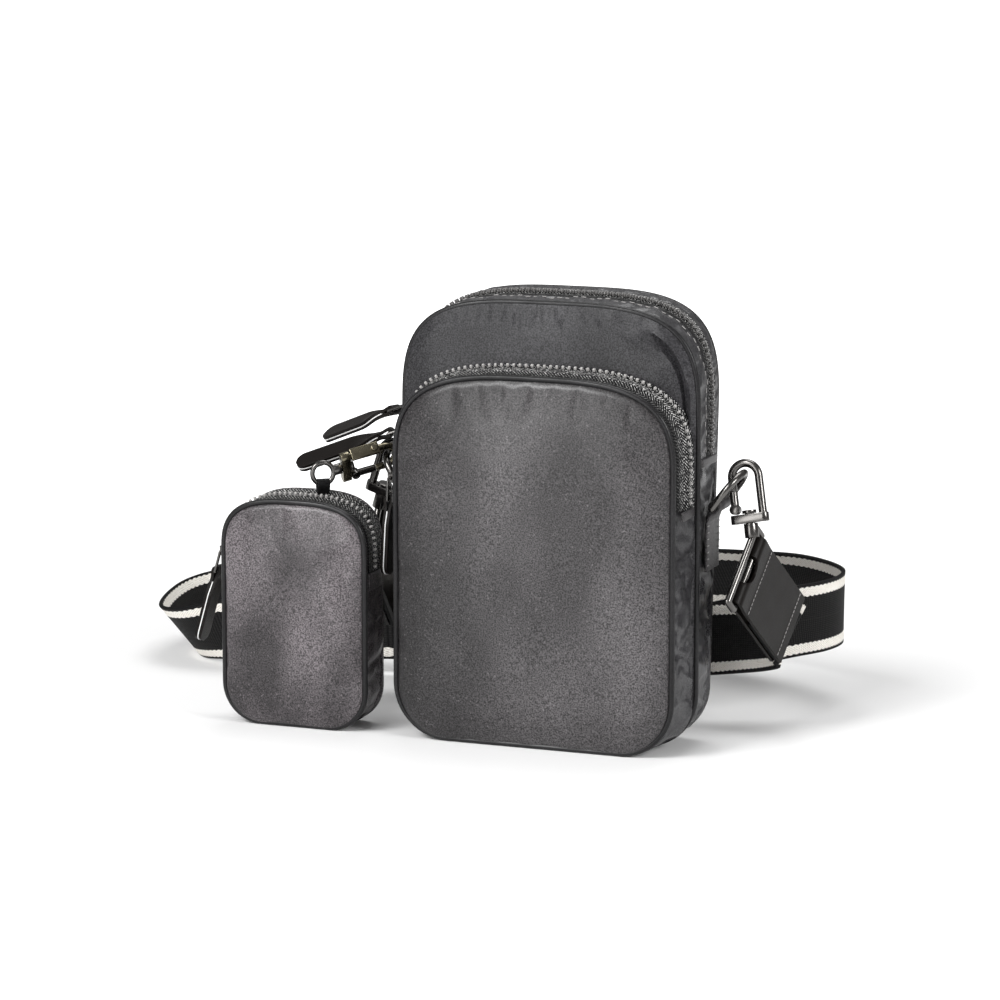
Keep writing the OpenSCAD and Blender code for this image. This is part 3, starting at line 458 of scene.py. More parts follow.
# %% Zip tape in herringbone
def herringbone(name, length_mm, width_mm, rib_mm=4.0, step_mm=1.35):
    """Short slanting ribs that turn back at each column, as on a zip's tape."""
    finish, shader = new_finish(name, (0.012, 0.012, 0.013), 0.42, Specular_IOR_Level=0.3)
    uv = node(finish, "ShaderNodeUVMap").outputs[0]
    split = node(finish, "ShaderNodeSeparateXYZ", {0: uv})
    along = sums(finish, "MULTIPLY", split.outputs[0], length_mm / step_mm)
    across = sums(finish, "MULTIPLY", split.outputs[1], width_mm / rib_mm)
    zigzag = sums(finish, "PINGPONG", across, 1.0)
    phase = sums(finish, "ADD", along, sums(finish, "MULTIPLY", zigzag, rib_mm / step_mm * 0.8))
    rib = ribs(finish, phase, 1)
    groove = sums(finish, "POWER", sums(finish, "ABSOLUTE", sums(
        finish, "SUBTRACT", sums(finish, "MULTIPLY", zigzag, 2.0), 1.0)), 12.0)
    height = sums(finish, "SUBTRACT", rib, groove)
    flecks = sums(finish, "MULTIPLY", rib, grain(finish, 0.7))
    # Painted shade: near black by the front seam, lighter towards the tape's outer side.
    painted_shade_across = between(finish, split.outputs[1], (0.03, 0.029, 0.029), (1, 0.99, 0.97), 0.16, 0.5)
    wire(finish, between(finish, flecks, (0.0012, 0.0012, 0.0015), painted_shade_across, 0.42, 0.66),
         shader.inputs["Base Color"])
    emboss(finish, shader, height, 0.45, 1.0)
    return finish


# %% [markdown]
# The rings, hooks and sliders are plated a dark grey, and the clasp a warmer one. Plating is never
# even, so a soft smear changes how sharply it shines. A single number would look like plastic.

# %% Plated metal
def plated_metal(name, colour, rough=0.22):
    finish, shader = new_finish(name, colour, rough, Metallic=1.0)
    smear = grain(finish, 5, 4)
    wire(finish, between(finish, smear, (rough - 0.08,) * 3, (rough + 0.16,) * 3),
         shader.inputs["Roughness"])
    wire(finish, between(finish, smear, tuple(c * 0.8 for c in colour), tuple(c * 1.15 for c in colour)),
         shader.inputs["Base Color"])
    emboss(finish, shader, grain(finish, 1.2, 3), 0.02, 0.5)
    return finish


GUNMETAL = plated_metal("gunmetal plating", (0.13, 0.125, 0.12), 0.18)
OLIVE_METAL = plated_metal("warm gunmetal plating", (0.2, 0.18, 0.13), 0.2)
STEEL = plated_metal("spring steel", (0.5, 0.49, 0.48), 0.3)
print("metals:", ", ".join(metal.name for metal in (GUNMETAL, OLIVE_METAL, STEEL)))


# %% [markdown]
# The leather is black and smooth, with small pores between its cells. The cells come from a Voronoi
# texture, cut off so that only the pores are left as fine grooves.

# %% Leather
def smooth_leather(name, colour, rough=0.34):
    finish, shader = new_finish(name, colour, rough, Specular_IOR_Level=0.12)
    pores = node(finish, "ShaderNodeTexVoronoi", {"Vector": object_place(finish),
                 "Scale": 1 / (0.7 * MM)}, feature="DISTANCE_TO_EDGE").outputs["Distance"]
    cells = sums(finish, "MINIMUM", pores, 0.12)
    slow = grain(finish, 9, 3)
    wire(finish, between(finish, slow, tuple(c * 0.75 for c in colour), tuple(c * 1.4 for c in colour)),
         shader.inputs["Base Color"])
    wire(finish, between(finish, slow, (rough - 0.07,) * 3, (rough + 0.12,) * 3),
         shader.inputs["Roughness"])
    emboss(finish, shader, sums(finish, "ADD", sums(finish, "MULTIPLY", cells, 4.0), slow), 0.05, 0.6)
    return finish


LEATHER = smooth_leather("black leather", (0.006, 0.0048, 0.0042))
print("leather:", LEATHER.name)


# %% [markdown]
# Stitches, zip teeth and the pale line along the pulls are small and plain. A fine noise for the
# twist of the thread is enough at their size.

# %% Thread and teeth
def plain_thread(name, colour, rough=0.6):
    finish, shader = new_finish(name, colour, rough, Sheen_Weight=0.2)
    twist = grain(finish, 0.35, 1)
    dark, light = tuple(c * 0.7 for c in colour), tuple(min(1, c * 1.3) for c in colour)
    wire(finish, between(finish, twist, dark, light), shader.inputs["Base Color"])
    emboss(finish, shader, twist, 0.08, 0.7)
    return finish


GREY_THREAD = plain_thread("grey stitching", (0.26, 0.25, 0.245))
# Painted highlight: these teeth are a lighter copy of the dark ones, for beads that catch the light.
TEETH = plain_thread("zip teeth", (0.36, 0.35, 0.34), 0.2)
DARK_TEETH = plain_thread("dark zip teeth", (0.1, 0.096, 0.094), 0.2)
EDGE_LINE = plain_thread("pale edge line", (0.8, 0.79, 0.77), 0.5)
print("threads:", ", ".join(thread.name for thread in (GREY_THREAD, TEETH, DARK_TEETH, EDGE_LINE)))


# %% [markdown]
# ## The main pouch
# The front panel is a flat piece of satin with a slight fullness. It is laid as a square grid whose
# rings are shrunken copies of the outline, so that there is no pole in the middle to pinch the light.

# %% A panel from its outline
def ring_shares(n):
    """For a square grid of n steps: how far out each crossing lies, and where round the square."""
    line = np.linspace(-1, 1, n + 1)
    a, b = np.meshgrid(line, line)
    r = np.maximum(np.abs(a), np.abs(b))
    safe = np.maximum(r, 1e-9)
    ea, eb = a / safe, b / safe
    t = np.where(ea >= 1 - 1e-9, (eb + 1) / 8, 0)
    t = np.where((eb >= 1 - 1e-9) & (ea < 1 - 1e-9), 0.25 + (1 - ea) / 8, t)
    t = np.where((ea <= -1 + 1e-9) & (eb < 1 - 1e-9), 0.5 + (1 - eb) / 8, t)
    t = np.where((eb <= -1 + 1e-9) & (ea > -1 + 1e-9) & (ea < 1 - 1e-9), 0.75 + (ea + 1) / 8, t)
    return r, t % 1.0


def panel_points(half_w, base, radius, start_z, height, power, n):
    """Across, up and share of the way out, for each crossing of a panel's grid."""
    ring = around(half_w, base, radius, start_z, height, power, 960)[:-1]
    corner_x = half_w * math.cos(math.pi / 4) ** (2 / power)
    corner_z = start_z + (height - start_z) * math.sin(math.pi / 4) ** (2 / power)
    low = radius * (1 - math.cos(math.pi / 4))
    marks = [(half_w - low, base + low), (corner_x, corner_z), (-corner_x, corner_z),
             (low - half_w, base + low)]
    first = [int(np.argmin(np.hypot(ring[:, 0] - x, ring[:, 1] - z))) for x, z in marks]
    ring = np.roll(ring, -first[0], axis=0)
    stops = [0] + [(f - first[0]) % len(ring) for f in first[1:]] + [len(ring)]
    r, t = ring_shares(n)
    spot = np.interp(t, [0, 0.25, 0.5, 0.75, 1], stops)
    closed = np.concatenate([ring, ring[:1]])
    edge_x = np.interp(spot, np.arange(len(closed)), closed[:, 0])
    edge_z = np.interp(spot, np.arange(len(closed)), closed[:, 1])
    mid = (height + base) / 2
    return edge_x * r, mid + (edge_z - mid) * r, r


# %% [markdown]
# Sewn cloth gets its folds from its own stiffness, so the soft panels are settled with a short cloth
# simulation. The seams are pinned, the cloth is a little larger than its frame, and a light pressure
# stands in for the padding. What moves too far is pulled back.

# %% Settling cloth between its seams
def settle(piece, grow, pressure, most_mm, stiff, bend):
    """Cloth simulation with the open edges pinned."""
    before = points_of(piece)
    edges = {}
    for face in piece.data.polygons:
        for key in face.edge_keys:
            edges[key] = edges.get(key, 0) + 1
    rim = sorted({v for key, uses in edges.items() if uses == 1 for v in key})
    group = piece.vertex_groups.new(name="seam")
    group.add(rim, 1.0, "REPLACE")
    choose(piece)
    cloth = piece.modifiers.new("cloth", "CLOTH")
    made = cloth.settings
    made.quality = 6
    made.mass = 0.1
    made.tension_stiffness = made.compression_stiffness = stiff
    made.shear_stiffness = stiff / 2
    made.bending_stiffness = bend
    made.vertex_group_mass = "seam"
    made.use_pressure = True
    made.uniform_pressure_force = pressure
    made.shrink_min = -grow
    made.effector_weights.gravity = 0
    cloth.collision_settings.use_collision = False
    cloth.point_cache.frame_start, cloth.point_cache.frame_end = 1, 20
    scene = bpy.context.scene
    for frame_number in range(1, 21):
        scene.frame_set(frame_number)
    bpy.ops.object.modifier_apply(modifier=cloth.name)
    scene.frame_set(1)
    moved = points_of(piece) - before
    far = np.linalg.norm(moved, axis=1, keepdims=True) / MM
    place_points(piece, before + moved * np.minimum(1, most_mm / np.maximum(far, 1e-9)))
    piece.vertex_groups.clear()
    print(f"{piece.name} settled, at most {far.max():.1f} mm, kept to {most_mm} mm")
    return piece


# %% [markdown]
# The front panel has one deep fold near its right seam, where the cloth is pulled by the pocket. The
# back panel is the same shape, fuller and plain. A fold could be sculpted by hand, but a formula puts
# it in the same place each time. Both panels are laid, settled and then thickened.

# %% Front panel and back panel
def seam_crease(x, z, r):
    """The deep fold inside the front's right seam, and the roll of cloth beside it."""
    there = fade(x, 39, 50) * fade(z, 92, 118)
    return there * (2.4 * np.exp(-((r - 0.93) / 0.014) ** 2) - 1.2 * np.exp(-((r - 0.963) / 0.018) ** 2))


def main_panel(name, y_of, n, lift, seed, thick):
    x, z, r = panel_points(MAIN["half_w"] - 0.1, 0.1, MAIN["corner"], MAIN["start_z"],
                           MAIN["height"] + (MAIN["crown"] if lift < 0 else 0), MAIN["power"], n)
    full = 1 - r ** 4
    waves = 0.5 * rumple(x, z, seed, 38) * full + 0.25 * rumple(x, z, seed + 1, 14) * full
    y = y_of(z) - lift * full - waves
    if lift > 0:
        y = y + seam_crease(x, z, r)
    piece = lay(name, np.stack([x, y, z], 2), ("along", (0, -1 if lift > 0 else 1, 0)))
    settle(piece, 0.006, 1.2, 1.2, 14, 2)
    thicken(piece, thick)
    return smooth(piece)


front_panel = main_panel("main_front", lambda z: np.full_like(z, FRONT_Y), 132, 1.1, 3, CLOTH_T)
hand_over(front_panel, FRONT_NYLON, "pouch", "nylon", "main_front_panel")
back_panel = main_panel("main_back", rear, 72, -0.9, 5, 2.2)
hand_over(back_panel, NYLON, "pouch", "nylon", "main_back_panel")


# %% [markdown]
# ## Gussets
# The strips of cloth round the side are sewn into curved seams, so they pucker: short folds start at
# each seam and die out towards the middle. Each strip is a table of points, from its front seam to
# its back seam, pushed in and out by a noise that is stretched across the strip.

# %% A gusset strip with puckers
def pucker(length_at, across, seed, deep_mm, every_mm):
    """Folds that start at both seams. across runs from 0 at the front seam to 1 at the back."""
    near_front = np.exp(-across / 0.28)
    near_back = np.exp(-(1 - across) / 0.28)
    folds = rumple(length_at, across * every_mm * 0.5, seed, every_mm * 0.5)
    other = rumple(length_at, across * every_mm * 0.5, seed + 4, every_mm * 0.6)
    soft = rumple(length_at, across * 20, seed + 9, every_mm * 1.8)
    seam_free = fade(across, 0, 0.06) * fade(1 - across, 0, 0.06)
    return deep_mm * (folds * near_front + other * near_back + 0.8 * soft) * seam_free


def strip_table(rows, point_rows):
    return np.stack([point_rows(j / rows) for j in range(rows + 1)])


def length_along(table):
    step = np.linalg.norm(np.diff(table, axis=1), axis=2)
    return np.concatenate([np.zeros((table.shape[0], 1)), np.cumsum(step, axis=1)], 1)


def gusset(name, table, seed, deep_mm, every_mm, centre, sag=0.0):
    across = np.linspace(0, 1, table.shape[0])[:, None] * np.ones(table.shape[1])[None, :]
    out = outward(table)
    if np.sum(out * (table - np.array(centre))) < 0:
        out = -out
    folds = pucker(length_along(table), across, seed, deep_mm, every_mm)
    hollow = -sag * 4 * across * (1 - across)
    piece = lay(name, table + out * (folds + hollow)[..., None], ("from", centre))
    settle(piece, 0.03, 1.0, 1.6, 14, 0.15)
    co = points_of(piece)
    co[:, 2] = np.maximum(co[:, 2], 0.1 * MM)
    place_points(piece, co)
    thicken(piece, CLOTH_T)
    return smooth(piece, 60)


# %% [markdown]
# The main pouch has one strip round its sides and base, and two along the zip, in front of its tape
# and behind it. They could be cut from one long loop of cloth. As separate strips they pucker from
# their own seams, and they share one surface, so no gap shows between them.

# %% The main pouch's strips
MAIN_MID, POCKET_MID, MINI_MID = (0, 13, 90), (0, -9, 75), (MINI_X, -9, 46)


def main_over(share):
    xz = over(MAIN["half_w"], MAIN["end_z"], MAIN["start_z"], MAIN["height"] + MAIN["crown"] * share,
              MAIN["power"], 220)
    return np.stack([xz[:, 0], deep(share, xz[:, 1]), xz[:, 1]], 1)


def main_under(share):
    xz = under(MAIN["half_w"], MAIN["end_z"], 0, MAIN["corner"], 260)
    return np.stack([xz[:, 0], deep(share, xz[:, 1]), xz[:, 1]], 1)


TAPE_SHARES = (0.42, 0.62, 0.82)
side_gusset = gusset("main_side", strip_table(26, main_under), 11, 0.9, 17, MAIN_MID, sag=0.5)
hand_over(side_gusset, GUSSET_NYLON, "pouch", "nylon", "main_gusset")
zip_front = gusset("main_zip_strip_front", strip_table(14, lambda v: main_over(v * TAPE_SHARES[0])),
                   17, 0.95, 15, MAIN_MID)
hand_over(zip_front, GUSSET_NYLON, "pouch", "nylon", "main_zip_gusset_front")
zip_rear = gusset("main_zip_strip_rear",
                  strip_table(8, lambda v: main_over(TAPE_SHARES[2] + v * (1 - TAPE_SHARES[2]))),
                  23, 0.3, 16, MAIN_MID)
hand_over(zip_rear, GUSSET_NYLON, "pouch", "nylon", "main_zip_gusset_rear")

# %% [markdown]
# The front pocket and the little pouch have one strip each below their zips. The pocket grows a
# little wider and higher towards the pouch that it is sewn to, so each row of its table gets its own
# outline. One function serves both, with the sizes of the one or the other.

# %% Front pocket and mini pouch strips
def bag_row(bag, line, share, inset, count):
    """A line over or under a small bag, at a share of the way from its front seam to its back."""
    half_w = bag["half_w"] + (bag["back_half_w"] - bag["half_w"]) * share
    height = bag["height"] + (bag["back_height"] - bag["height"]) * share
    y = bag["band"] + (bag["end"] - bag["band"]) * share
    if line == "over":
        xz = over(half_w - inset, bag["end_z"], bag["start_z"], height - inset, bag["power"], count)
    else:
        xz = under(half_w - inset, bag["end_z"], inset, bag["corner"] - inset, count)
    return np.stack([xz[:, 0] + bag["x_mid"], np.full(len(xz), y), xz[:, 1]], 1)


pocket_side = gusset("pocket_side", strip_table(20, lambda v: bag_row(POCKET, "under", v, 0, 240)),
                     31, 1.5, 14, POCKET_MID, sag=0.9)
hand_over(pocket_side, GUSSET_NYLON, "pouch", "nylon", "pocket_gusset")
mini_side = gusset("mini_side", strip_table(20, lambda v: bag_row(MINI, "under", v, 0, 160)),
                   37, 0.8, 12, MINI_MID, sag=0.5)
hand_over(mini_side, MINI_NYLON, "mini_pouch", "nylon", "mini_gusset")


# %% [markdown]
# ## Zips
# A coil zip is two bent plastic coils that lock down the middle of a woven tape. Seen from outside
# it is a double row of small rounded teeth, or one row of beads where the tape is turned away. One
# tooth is modelled, then copied along the tape.

# %% One tooth and a way to strew copies
def block():
    """A cube with sides of 1, to be stretched by its points."""
    fresh()
    bpy.ops.mesh.primitive_cube_add(size=1)
    return bpy.context.object


def tooth_shape(length_mm, width_mm, height_mm):
    tooth = block()
    place_points(tooth, points_of(tooth) * [width_mm, length_mm, height_mm])
    edit(tooth, lambda: bpy.ops.mesh.bevel(offset=0.3 * min(width_mm, height_mm), segments=2,
                                           affect="EDGES"))
    return tooth


def strew(name, unit, places, finish):
    """Copies of unit, in millimetres, at each place: a point, and the ways its x, y and z go."""
    co = points_of(unit)
    loops = [tuple(face.vertices) for face in unit.data.polygons]
    corners, faces = [], []
    for k, (at, ax, ay, az) in enumerate(places):
        corners.append((at + co[:, :1] * ax + co[:, 1:2] * ay + co[:, 2:] * az) * MM)
        faces += [tuple(v + k * len(co) for v in face) for face in loops]
    mesh = bpy.data.meshes.new(name)
    mesh.from_pydata(np.concatenate(corners).tolist(), [], faces)
    piece = bpy.data.objects.new(name, mesh)
    bpy.context.scene.collection.objects.link(piece)
    bpy.data.objects.remove(unit)
    mesh.materials.append(finish)
    return smooth(piece, 50)


BOTH_ROWS, ONE_ROW = (0.36, 0.64), (0.6, None)


def teeth_places(front, back, pitch, rise, rows=BOTH_ROWS):
    """One or two rows of teeth between two lines, each tooth lying across the zip."""
    length = np.linalg.norm(np.diff(front, axis=0), axis=1).sum()
    count = int(length / pitch)
    a, b = evenly(front, 2 * count), evenly(back, 2 * count)
    places = []
    for k in range(1, 2 * count):
        along = a[k + 1] - a[k - 1] if k < 2 * count else a[k] - a[k - 1]
        along = along / np.linalg.norm(along)
        across = (b[k] - a[k]) / np.linalg.norm(b[k] - a[k])
        up = np.cross(across, along)
        share = rows[k % 2]
        if share is None:
            continue
        places.append((a[k] + (b[k] - a[k]) * share + up * rise, along, across, up))
    return places


# %% [markdown]
# The teeth of the main zip are dark and lie in two rows. On the pocket and the little pouch the tape turns
# away, so only one row of beads shows on its outer edge. These beads wear a lighter copy of the teeth's
# finish: a painted highlight where they catch the light. A striped finish could stand in for teeth, but
# small shapes catch the light as they should.

# %% The three rows of teeth
TOOTH_RISE, TOOTH_H, MAIN_TEETH_W = 0.85, 1.5, 4.4


def zip_teeth(name, row, share, width, pitch, body, centre, finish, rows, *stands_for):
    """Teeth between two lines of a zip's surface, turned away from the middle of the pouch."""
    front, back = row(share[0]), row(share[1])
    places = teeth_places(front, back, pitch, TOOTH_RISE, rows)
    middle = np.array(centre)
    if sum(float(np.dot(p[3], p[0] - middle)) for p in places) < 0:
        places = [(p[0] - TOOTH_H * p[3], p[1], p[2], -p[3]) for p in places]
    tooth = tooth_shape(width * 0.44, pitch * (0.44 if rows == ONE_ROW else 0.34), TOOTH_H)
    piece = strew(name, tooth, places, finish)
    return hand_over(piece, finish, body, "zip_teeth", *stands_for)


def main_teeth_row(side):
    row = main_over(TAPE_SHARES[1])
    return row + np.array([0, side * MAIN_TEETH_W / 2, 0])


zip_teeth("main_zip_coil", main_teeth_row, (-1, 1), MAIN_TEETH_W, 2.4, "pouch", MAIN_MID, DARK_TEETH,
          BOTH_ROWS, "main_zip_teeth")
zip_teeth("pocket_zip_coil", lambda v: bag_row(POCKET, "over", v, 0, 240), (0.62, 0.79), 2.7, 2.6, "pouch",
          POCKET_MID, TEETH, ONE_ROW, "pocket_zip_teeth")
zip_teeth("mini_zip_coil", lambda v: bag_row(MINI, "over", v, 0, 160), (0.363, 0.537), 3.0, 2.3,
          "mini_pouch", MINI_MID, TEETH, ONE_ROW, "mini_zip_teeth")


# %% [markdown]
# A row of grey stitches runs beside the main zip, on the strip in front of it. The strip is settled
# cloth by now, with folds that no formula knows, so each stitch is dropped onto it along a ray from
# outside.

# %% A row of stitches beside the main zip
def laid_on(piece, places):
    """The same places moved in or out until they lie on the cloth."""
    tree = BVHTree.FromObject(piece, bpy.context.evaluated_depsgraph_get())
    landed = []
    for at, along, across, up in places:
        hit = tree.ray_cast(Vector((at + 8 * up) * MM), Vector(-up), 16 * MM)[0]
        if hit is not None:
            landed.append((np.array(hit) / MM + 0.08 * up, along, across, up))
    return landed


row_places = teeth_places(main_over(0.33), main_over(0.39), 3.4, 0, rows=(0.5, None))
if sum(float(np.dot(p[3], p[0] - np.array(MAIN_MID))) for p in row_places) < 0:
    row_places = [(p[0], p[1], p[2], -p[3]) for p in row_places]
stitches = strew("main_zip_stitches", tooth_shape(0.5, 2.0, 0.4), laid_on(zip_front, row_places),
                 GREY_THREAD)
hand_over(stitches, GREY_THREAD, "pouch", "nylon")


# %% [markdown]
# The tapes are the bands that carry the teeth. Each gets a weave of its own, because the herringbone
# has to know how long and how wide its tape is. In front, the tape dips under the rolled edge.

# %% The tapes
def tape(name, table, width_mm, body, centre, *stands_for):
    length_mm = float(length_along(table)[:, -1].mean())
    piece = lay(name, table, ("from", centre))
    smooth(thicken(piece, CLOTH_T), 60)
    finish = herringbone(name + " weave", length_mm, width_mm)
    return hand_over(piece, finish, body, "zip_tape", *stands_for)


def groove(share):
    """How far the tape dips where it dives under the front's rolled edge."""
    return 1.7 * float(1 - fade(share, 0.02, 0.2))


span = TAPE_SHARES[2] - TAPE_SHARES[0]
tape("main_tape", strip_table(6, lambda v: main_over(TAPE_SHARES[0] + v * span)), 11, "pouch",
     MAIN_MID, "main_zip_tape")
tape("pocket_tape", strip_table(14, lambda v: bag_row(POCKET, "over", v, groove(v), 200)), 16.5, "pouch",
     POCKET_MID, "pocket_zip_tape")
tape("mini_tape", strip_table(14, lambda v: bag_row(MINI, "over", v, groove(v), 140)), 17, "mini_pouch",
     MINI_MID, "mini_zip_tape")


# %% [markdown]
# ## The padded fronts
# The front pocket and the mini pouch have a padded front: a sheet of satin over thin foam, full in
# the middle and drawn in at the piping.

# %% Padded fronts
def padded_front(name, bag, drawn_in, n, seed):
    x, z, r = panel_points(bag["half_w"], 0.1, bag["corner"], bag["start_z"], bag["height"],
                           bag["power"], n)
    full = (1 - np.clip(r, 0, 1) ** 3) ** 0.55
    turned = math.radians(SLANT)
    slant_x = x * math.cos(turned) + z * math.sin(turned)
    slant_z = z * math.cos(turned) - x * math.sin(turned)
    waves = (1.1 * rumple(slant_x, 0.5 * slant_z, seed, 0.62 * bag["half_w"])
             + 0.3 * rumple(x, z, seed + 2, 17))
    near_edge = np.exp(-(1 - r) / 0.1) * fade(1 - r, 0, 0.03)
    small = 0.35 * rumple(x, z, seed + 5, 11) * near_edge
    dive = 0.9 * np.exp(-(1 - r) / 0.012)
    y = bag["seam"] - (bag["pad"] - drawn_in) * full - (waves * full + small) + dive
    return lay(name, np.stack([x + bag["x_mid"], y, z], 2), ("along", (0, -1, 0)))


def finish_front(piece, grow, most_mm, bend, finish, body, slot, node_name):
    settle(piece, grow, 1.5, most_mm, 15, bend)
    smooth(thicken(piece, CLOTH_T), 60)
    hand_over(piece, finish, body, slot, node_name)


pocket_front = padded_front("pocket_front", POCKET, 0.4, 96, 41)
finish_front(pocket_front, 0.004, 1.6, 4, NYLON, "pouch", "nylon", "pocket_panel")
mini_front = padded_front("mini_front", MINI, 0.2, 72, 47)
finish_front(mini_front, 0.005, 1.4, 3, MINI_NYLON, "mini_pouch", "mini_nylon", "mini_front_panel")

# %% [markdown]
# The little pouch's back is a flat panel. It could be as full as the front, but the base ring of the
# left hook comes close to it when the little pouch swings, so it stays just inside its CAD solid.

# %% The little pouch's back
x, z, r = panel_points(MINI["half_w"], 0.1, MINI["corner"], MINI["start_z"], MINI["back_height"],
                       MINI["power"], 48)
mini_back = lay("mini_back", np.stack([x + MINI_X, MINI_BACK - 0.1 - 0.3 * (1 - r ** 4), z], 2),
                ("along", (0, 1, 0)))
hand_over(smooth(thicken(mini_back, CLOTH_T), 60), MINI_NYLON, "mini_pouch", "nylon", "mini_back_panel")


# %% [markdown]
# The edges of the three fronts are rolled round a thin cord. The roll is a closed tube along the
# outline, a little in front of the seam, so that it hides where the front meets its strip. A curve
# with a round section would do as well. The grid is used here because every cloth is made that way.

# %% Piping
PIPE_R = 1.2


def round_cord(name, path, radius, sides):
    """A thin round cord along a closed path, as a table of points round each step."""
    path = np.asarray(path, float)[:-1]
    along = np.roll(path, -1, axis=0) - np.roll(path, 1, axis=0)
    along /= np.linalg.norm(along, axis=1, keepdims=True)
    side = np.cross(along, [0, 1, 0])
    side /= np.linalg.norm(side, axis=1, keepdims=True)
    up = np.cross(side, along)
    turn = np.linspace(0, 2 * np.pi, sides + 1)
    table = np.stack([path + radius * (np.cos(a) * side + np.sin(a) * up) for a in turn])
    piece = lay(name, np.concatenate([table, table[:, :1]], 1))
    return smooth(face_out(piece), 80)


def piping(name, body, y, x_mid, half_w, base, corner, start_z, height, power, node_name):
    ring = around(half_w, base, corner, start_z, height, power, 240)
    path = np.stack([ring[:, 0] + x_mid, np.full(len(ring), y), ring[:, 1]], 1)
    return hand_over(round_cord(name, path, PIPE_R, 10), EDGE_CLOTH, body, "piping", node_name)


# The rolled edges wear the darker satin, painted shade along the seams.
piping("main_edge", "pouch", 0.5, 0, 62.9, PIPE_R, 22, 130, 178.9, 3.6, "main_piping")
piping("pocket_edge", "pouch", -19.3, 0, 59.1, PIPE_R, 22, 112, 151, 3.2, "pocket_piping")
piping("mini_edge", "mini_pouch", -19.3, MINI_X, 31.5, PIPE_R, 16, 72, 94.5, 3, "mini_piping")

# %% [markdown]
# ## Hardware from the CAD model
# Rings, hooks and sliders are hard and exact, so their CAD shapes are kept. Their copies are welded, and
# all but the D-rings and the pull links have their sharp edges rounded a little, so that they catch the
# light like plated metal.

# %% Rounded copies of hard pieces
def softened(name, finish, body, width):
    fresh()
    piece = nodes[name].copy()
    piece.data = nodes[name].data.copy()
    piece.name = piece.data.name = name + "_made"
    bpy.context.scene.collection.objects.link(piece)
    piece.parent = None
    piece.matrix_world = Matrix()
    piece.hide_render = False
    edit(piece, lambda: bpy.ops.mesh.remove_doubles(threshold=0.003 * MM),
         lambda: bpy.ops.mesh.dissolve_limited(angle_limit=math.radians(1)),
         lambda: bpy.ops.mesh.normals_make_consistent(inside=False))
    if width:
        round_edges(piece, width, degrees=35)
    smooth(piece, 42)
    return hand_over(piece, finish, body, "gunmetal", name)


def both(kind, finish, body, width):
    return [(f"{kind}_{side}", finish, body.format(side), width) for side in ("right", "left")]


HARD = (both("d_ring", GUNMETAL, "ring_{}", 0) + both("hook_body", GUNMETAL, "hook_{}", 0.4)
        + both("hook_gate", GUNMETAL, "gate_{}", 0.3) + both("hook_base_ring", GUNMETAL, "pouch", 0.3)
        + [("mini_clasp_body", OLIVE_METAL, "clasp", 0.4), ("mini_clasp_gate", GUNMETAL, "clasp_gate", 0.3),
           ("mini_clasp_eye", GUNMETAL, "clasp_eye", 0.3)])
SLIDERS = [("main_slider_upper", "upper_slider"), ("main_slider_lower", "lower_slider"),
           ("pocket_slider", "front_pocket_slider"), ("mini_slider", "mini_zip_slider")]
LINKS = [("main_pull_link_upper", "upper_pull"), ("main_pull_link_lower", "lower_pull"),
         ("pocket_pull_link", "front_pocket_pull"), ("mini_pull_link", "mini_zip_pull")]
HARD += [(name, GUNMETAL, body, 0.35) for name, body in SLIDERS]
HARD += [(name, GUNMETAL, body, 0) for name, body in LINKS]
for name, finish, body, width in HARD:
    softened(name, finish, body, width)


# %% [markdown]
# ## Leather and cloth that is folded round a bar
# A pull, a strap tab and a cloth loop are all made the same way: a strip goes up one side, turns round
# a bar and comes down again. The path is drawn in the strip's own frame, and a width is given for
# each height. The frame is an origin and three directions: through, across and up.

# %% Folded strips
PULL_T = 1.3


def turn_about(axis, degrees):
    return np.array(Matrix.Rotation(math.radians(degrees), 3, axis))


def fold_path(bar, gap, low, high_step, thick=PULL_T):
    """Up one leaf, round the bar and down the other, as through and up."""
    ring = bar + thick / 2
    leaf = gap / 2 + thick / 2
    heights = np.arange(-low, -2.2 * ring, high_step)
    first = np.stack([np.full(len(heights), -leaf), heights], 1)
    angles = np.radians(np.linspace(200, -20, 15))
    bow = np.stack([ring * np.cos(angles), ring * np.sin(angles)], 1)
    return evenly(np.concatenate([first, bow, first[::-1] * [-1, 1]]), int(2.2 * low / high_step))


def twisted(across, through, degrees):
    """across turned about the strip's length, so that its far edge rises."""
    a = math.radians(degrees)
    ways = [math.cos(a) * across + sign * math.sin(a) * through for sign in (1, -1)]
    return max(ways, key=lambda way: way[1] * way[2])


def folded(name, origin, through, across, up, path, half_width, columns, thick=PULL_T, round_off=0.35,
           twist=None):
    t = np.linspace(-1, 1, columns + 1)
    rows = []
    for n, z in path:
        wide = twisted(across, through, twist(z)) if twist else across
        off = np.cross(wide, up) if twist else through
        off = off * np.sign(np.dot(off, through))
        rows.append(origin + n * off + np.outer(half_width(z) * t, wide) + z * up)
    piece = thicken(face_out(lay(name, np.stack(rows))), thick, 0)
    if round_off:
        round_edges(piece, round_off, 3)
    return smooth(piece, 60)


# %% [markdown]
# A zip pull is a strip of black leather folded round a wire and glued, with a rounded end. The two
# big ones are twisted a little, and a thin white line shows along the edge between their leaves. A
# block would be quicker, but only a fold turns round the wire like this.

# %% Zip pulls
BAIL_X, LINK, HALF_PULL = 5.42, 9.0, 4.5


def pull_frame(x_mid, out, y, z, turn, swing):
    """Where the wire of a pull turns, and its directions, on the left side."""
    axes = turn_about("Z", turn) @ turn_about("Y", -swing)
    flip = np.array([-1, 1, 1])
    origin = np.array([-(out + BAIL_X) + x_mid, y, z])
    return origin, flip * axes[:, 0], -flip * axes[:, 1], flip * axes[:, 2]


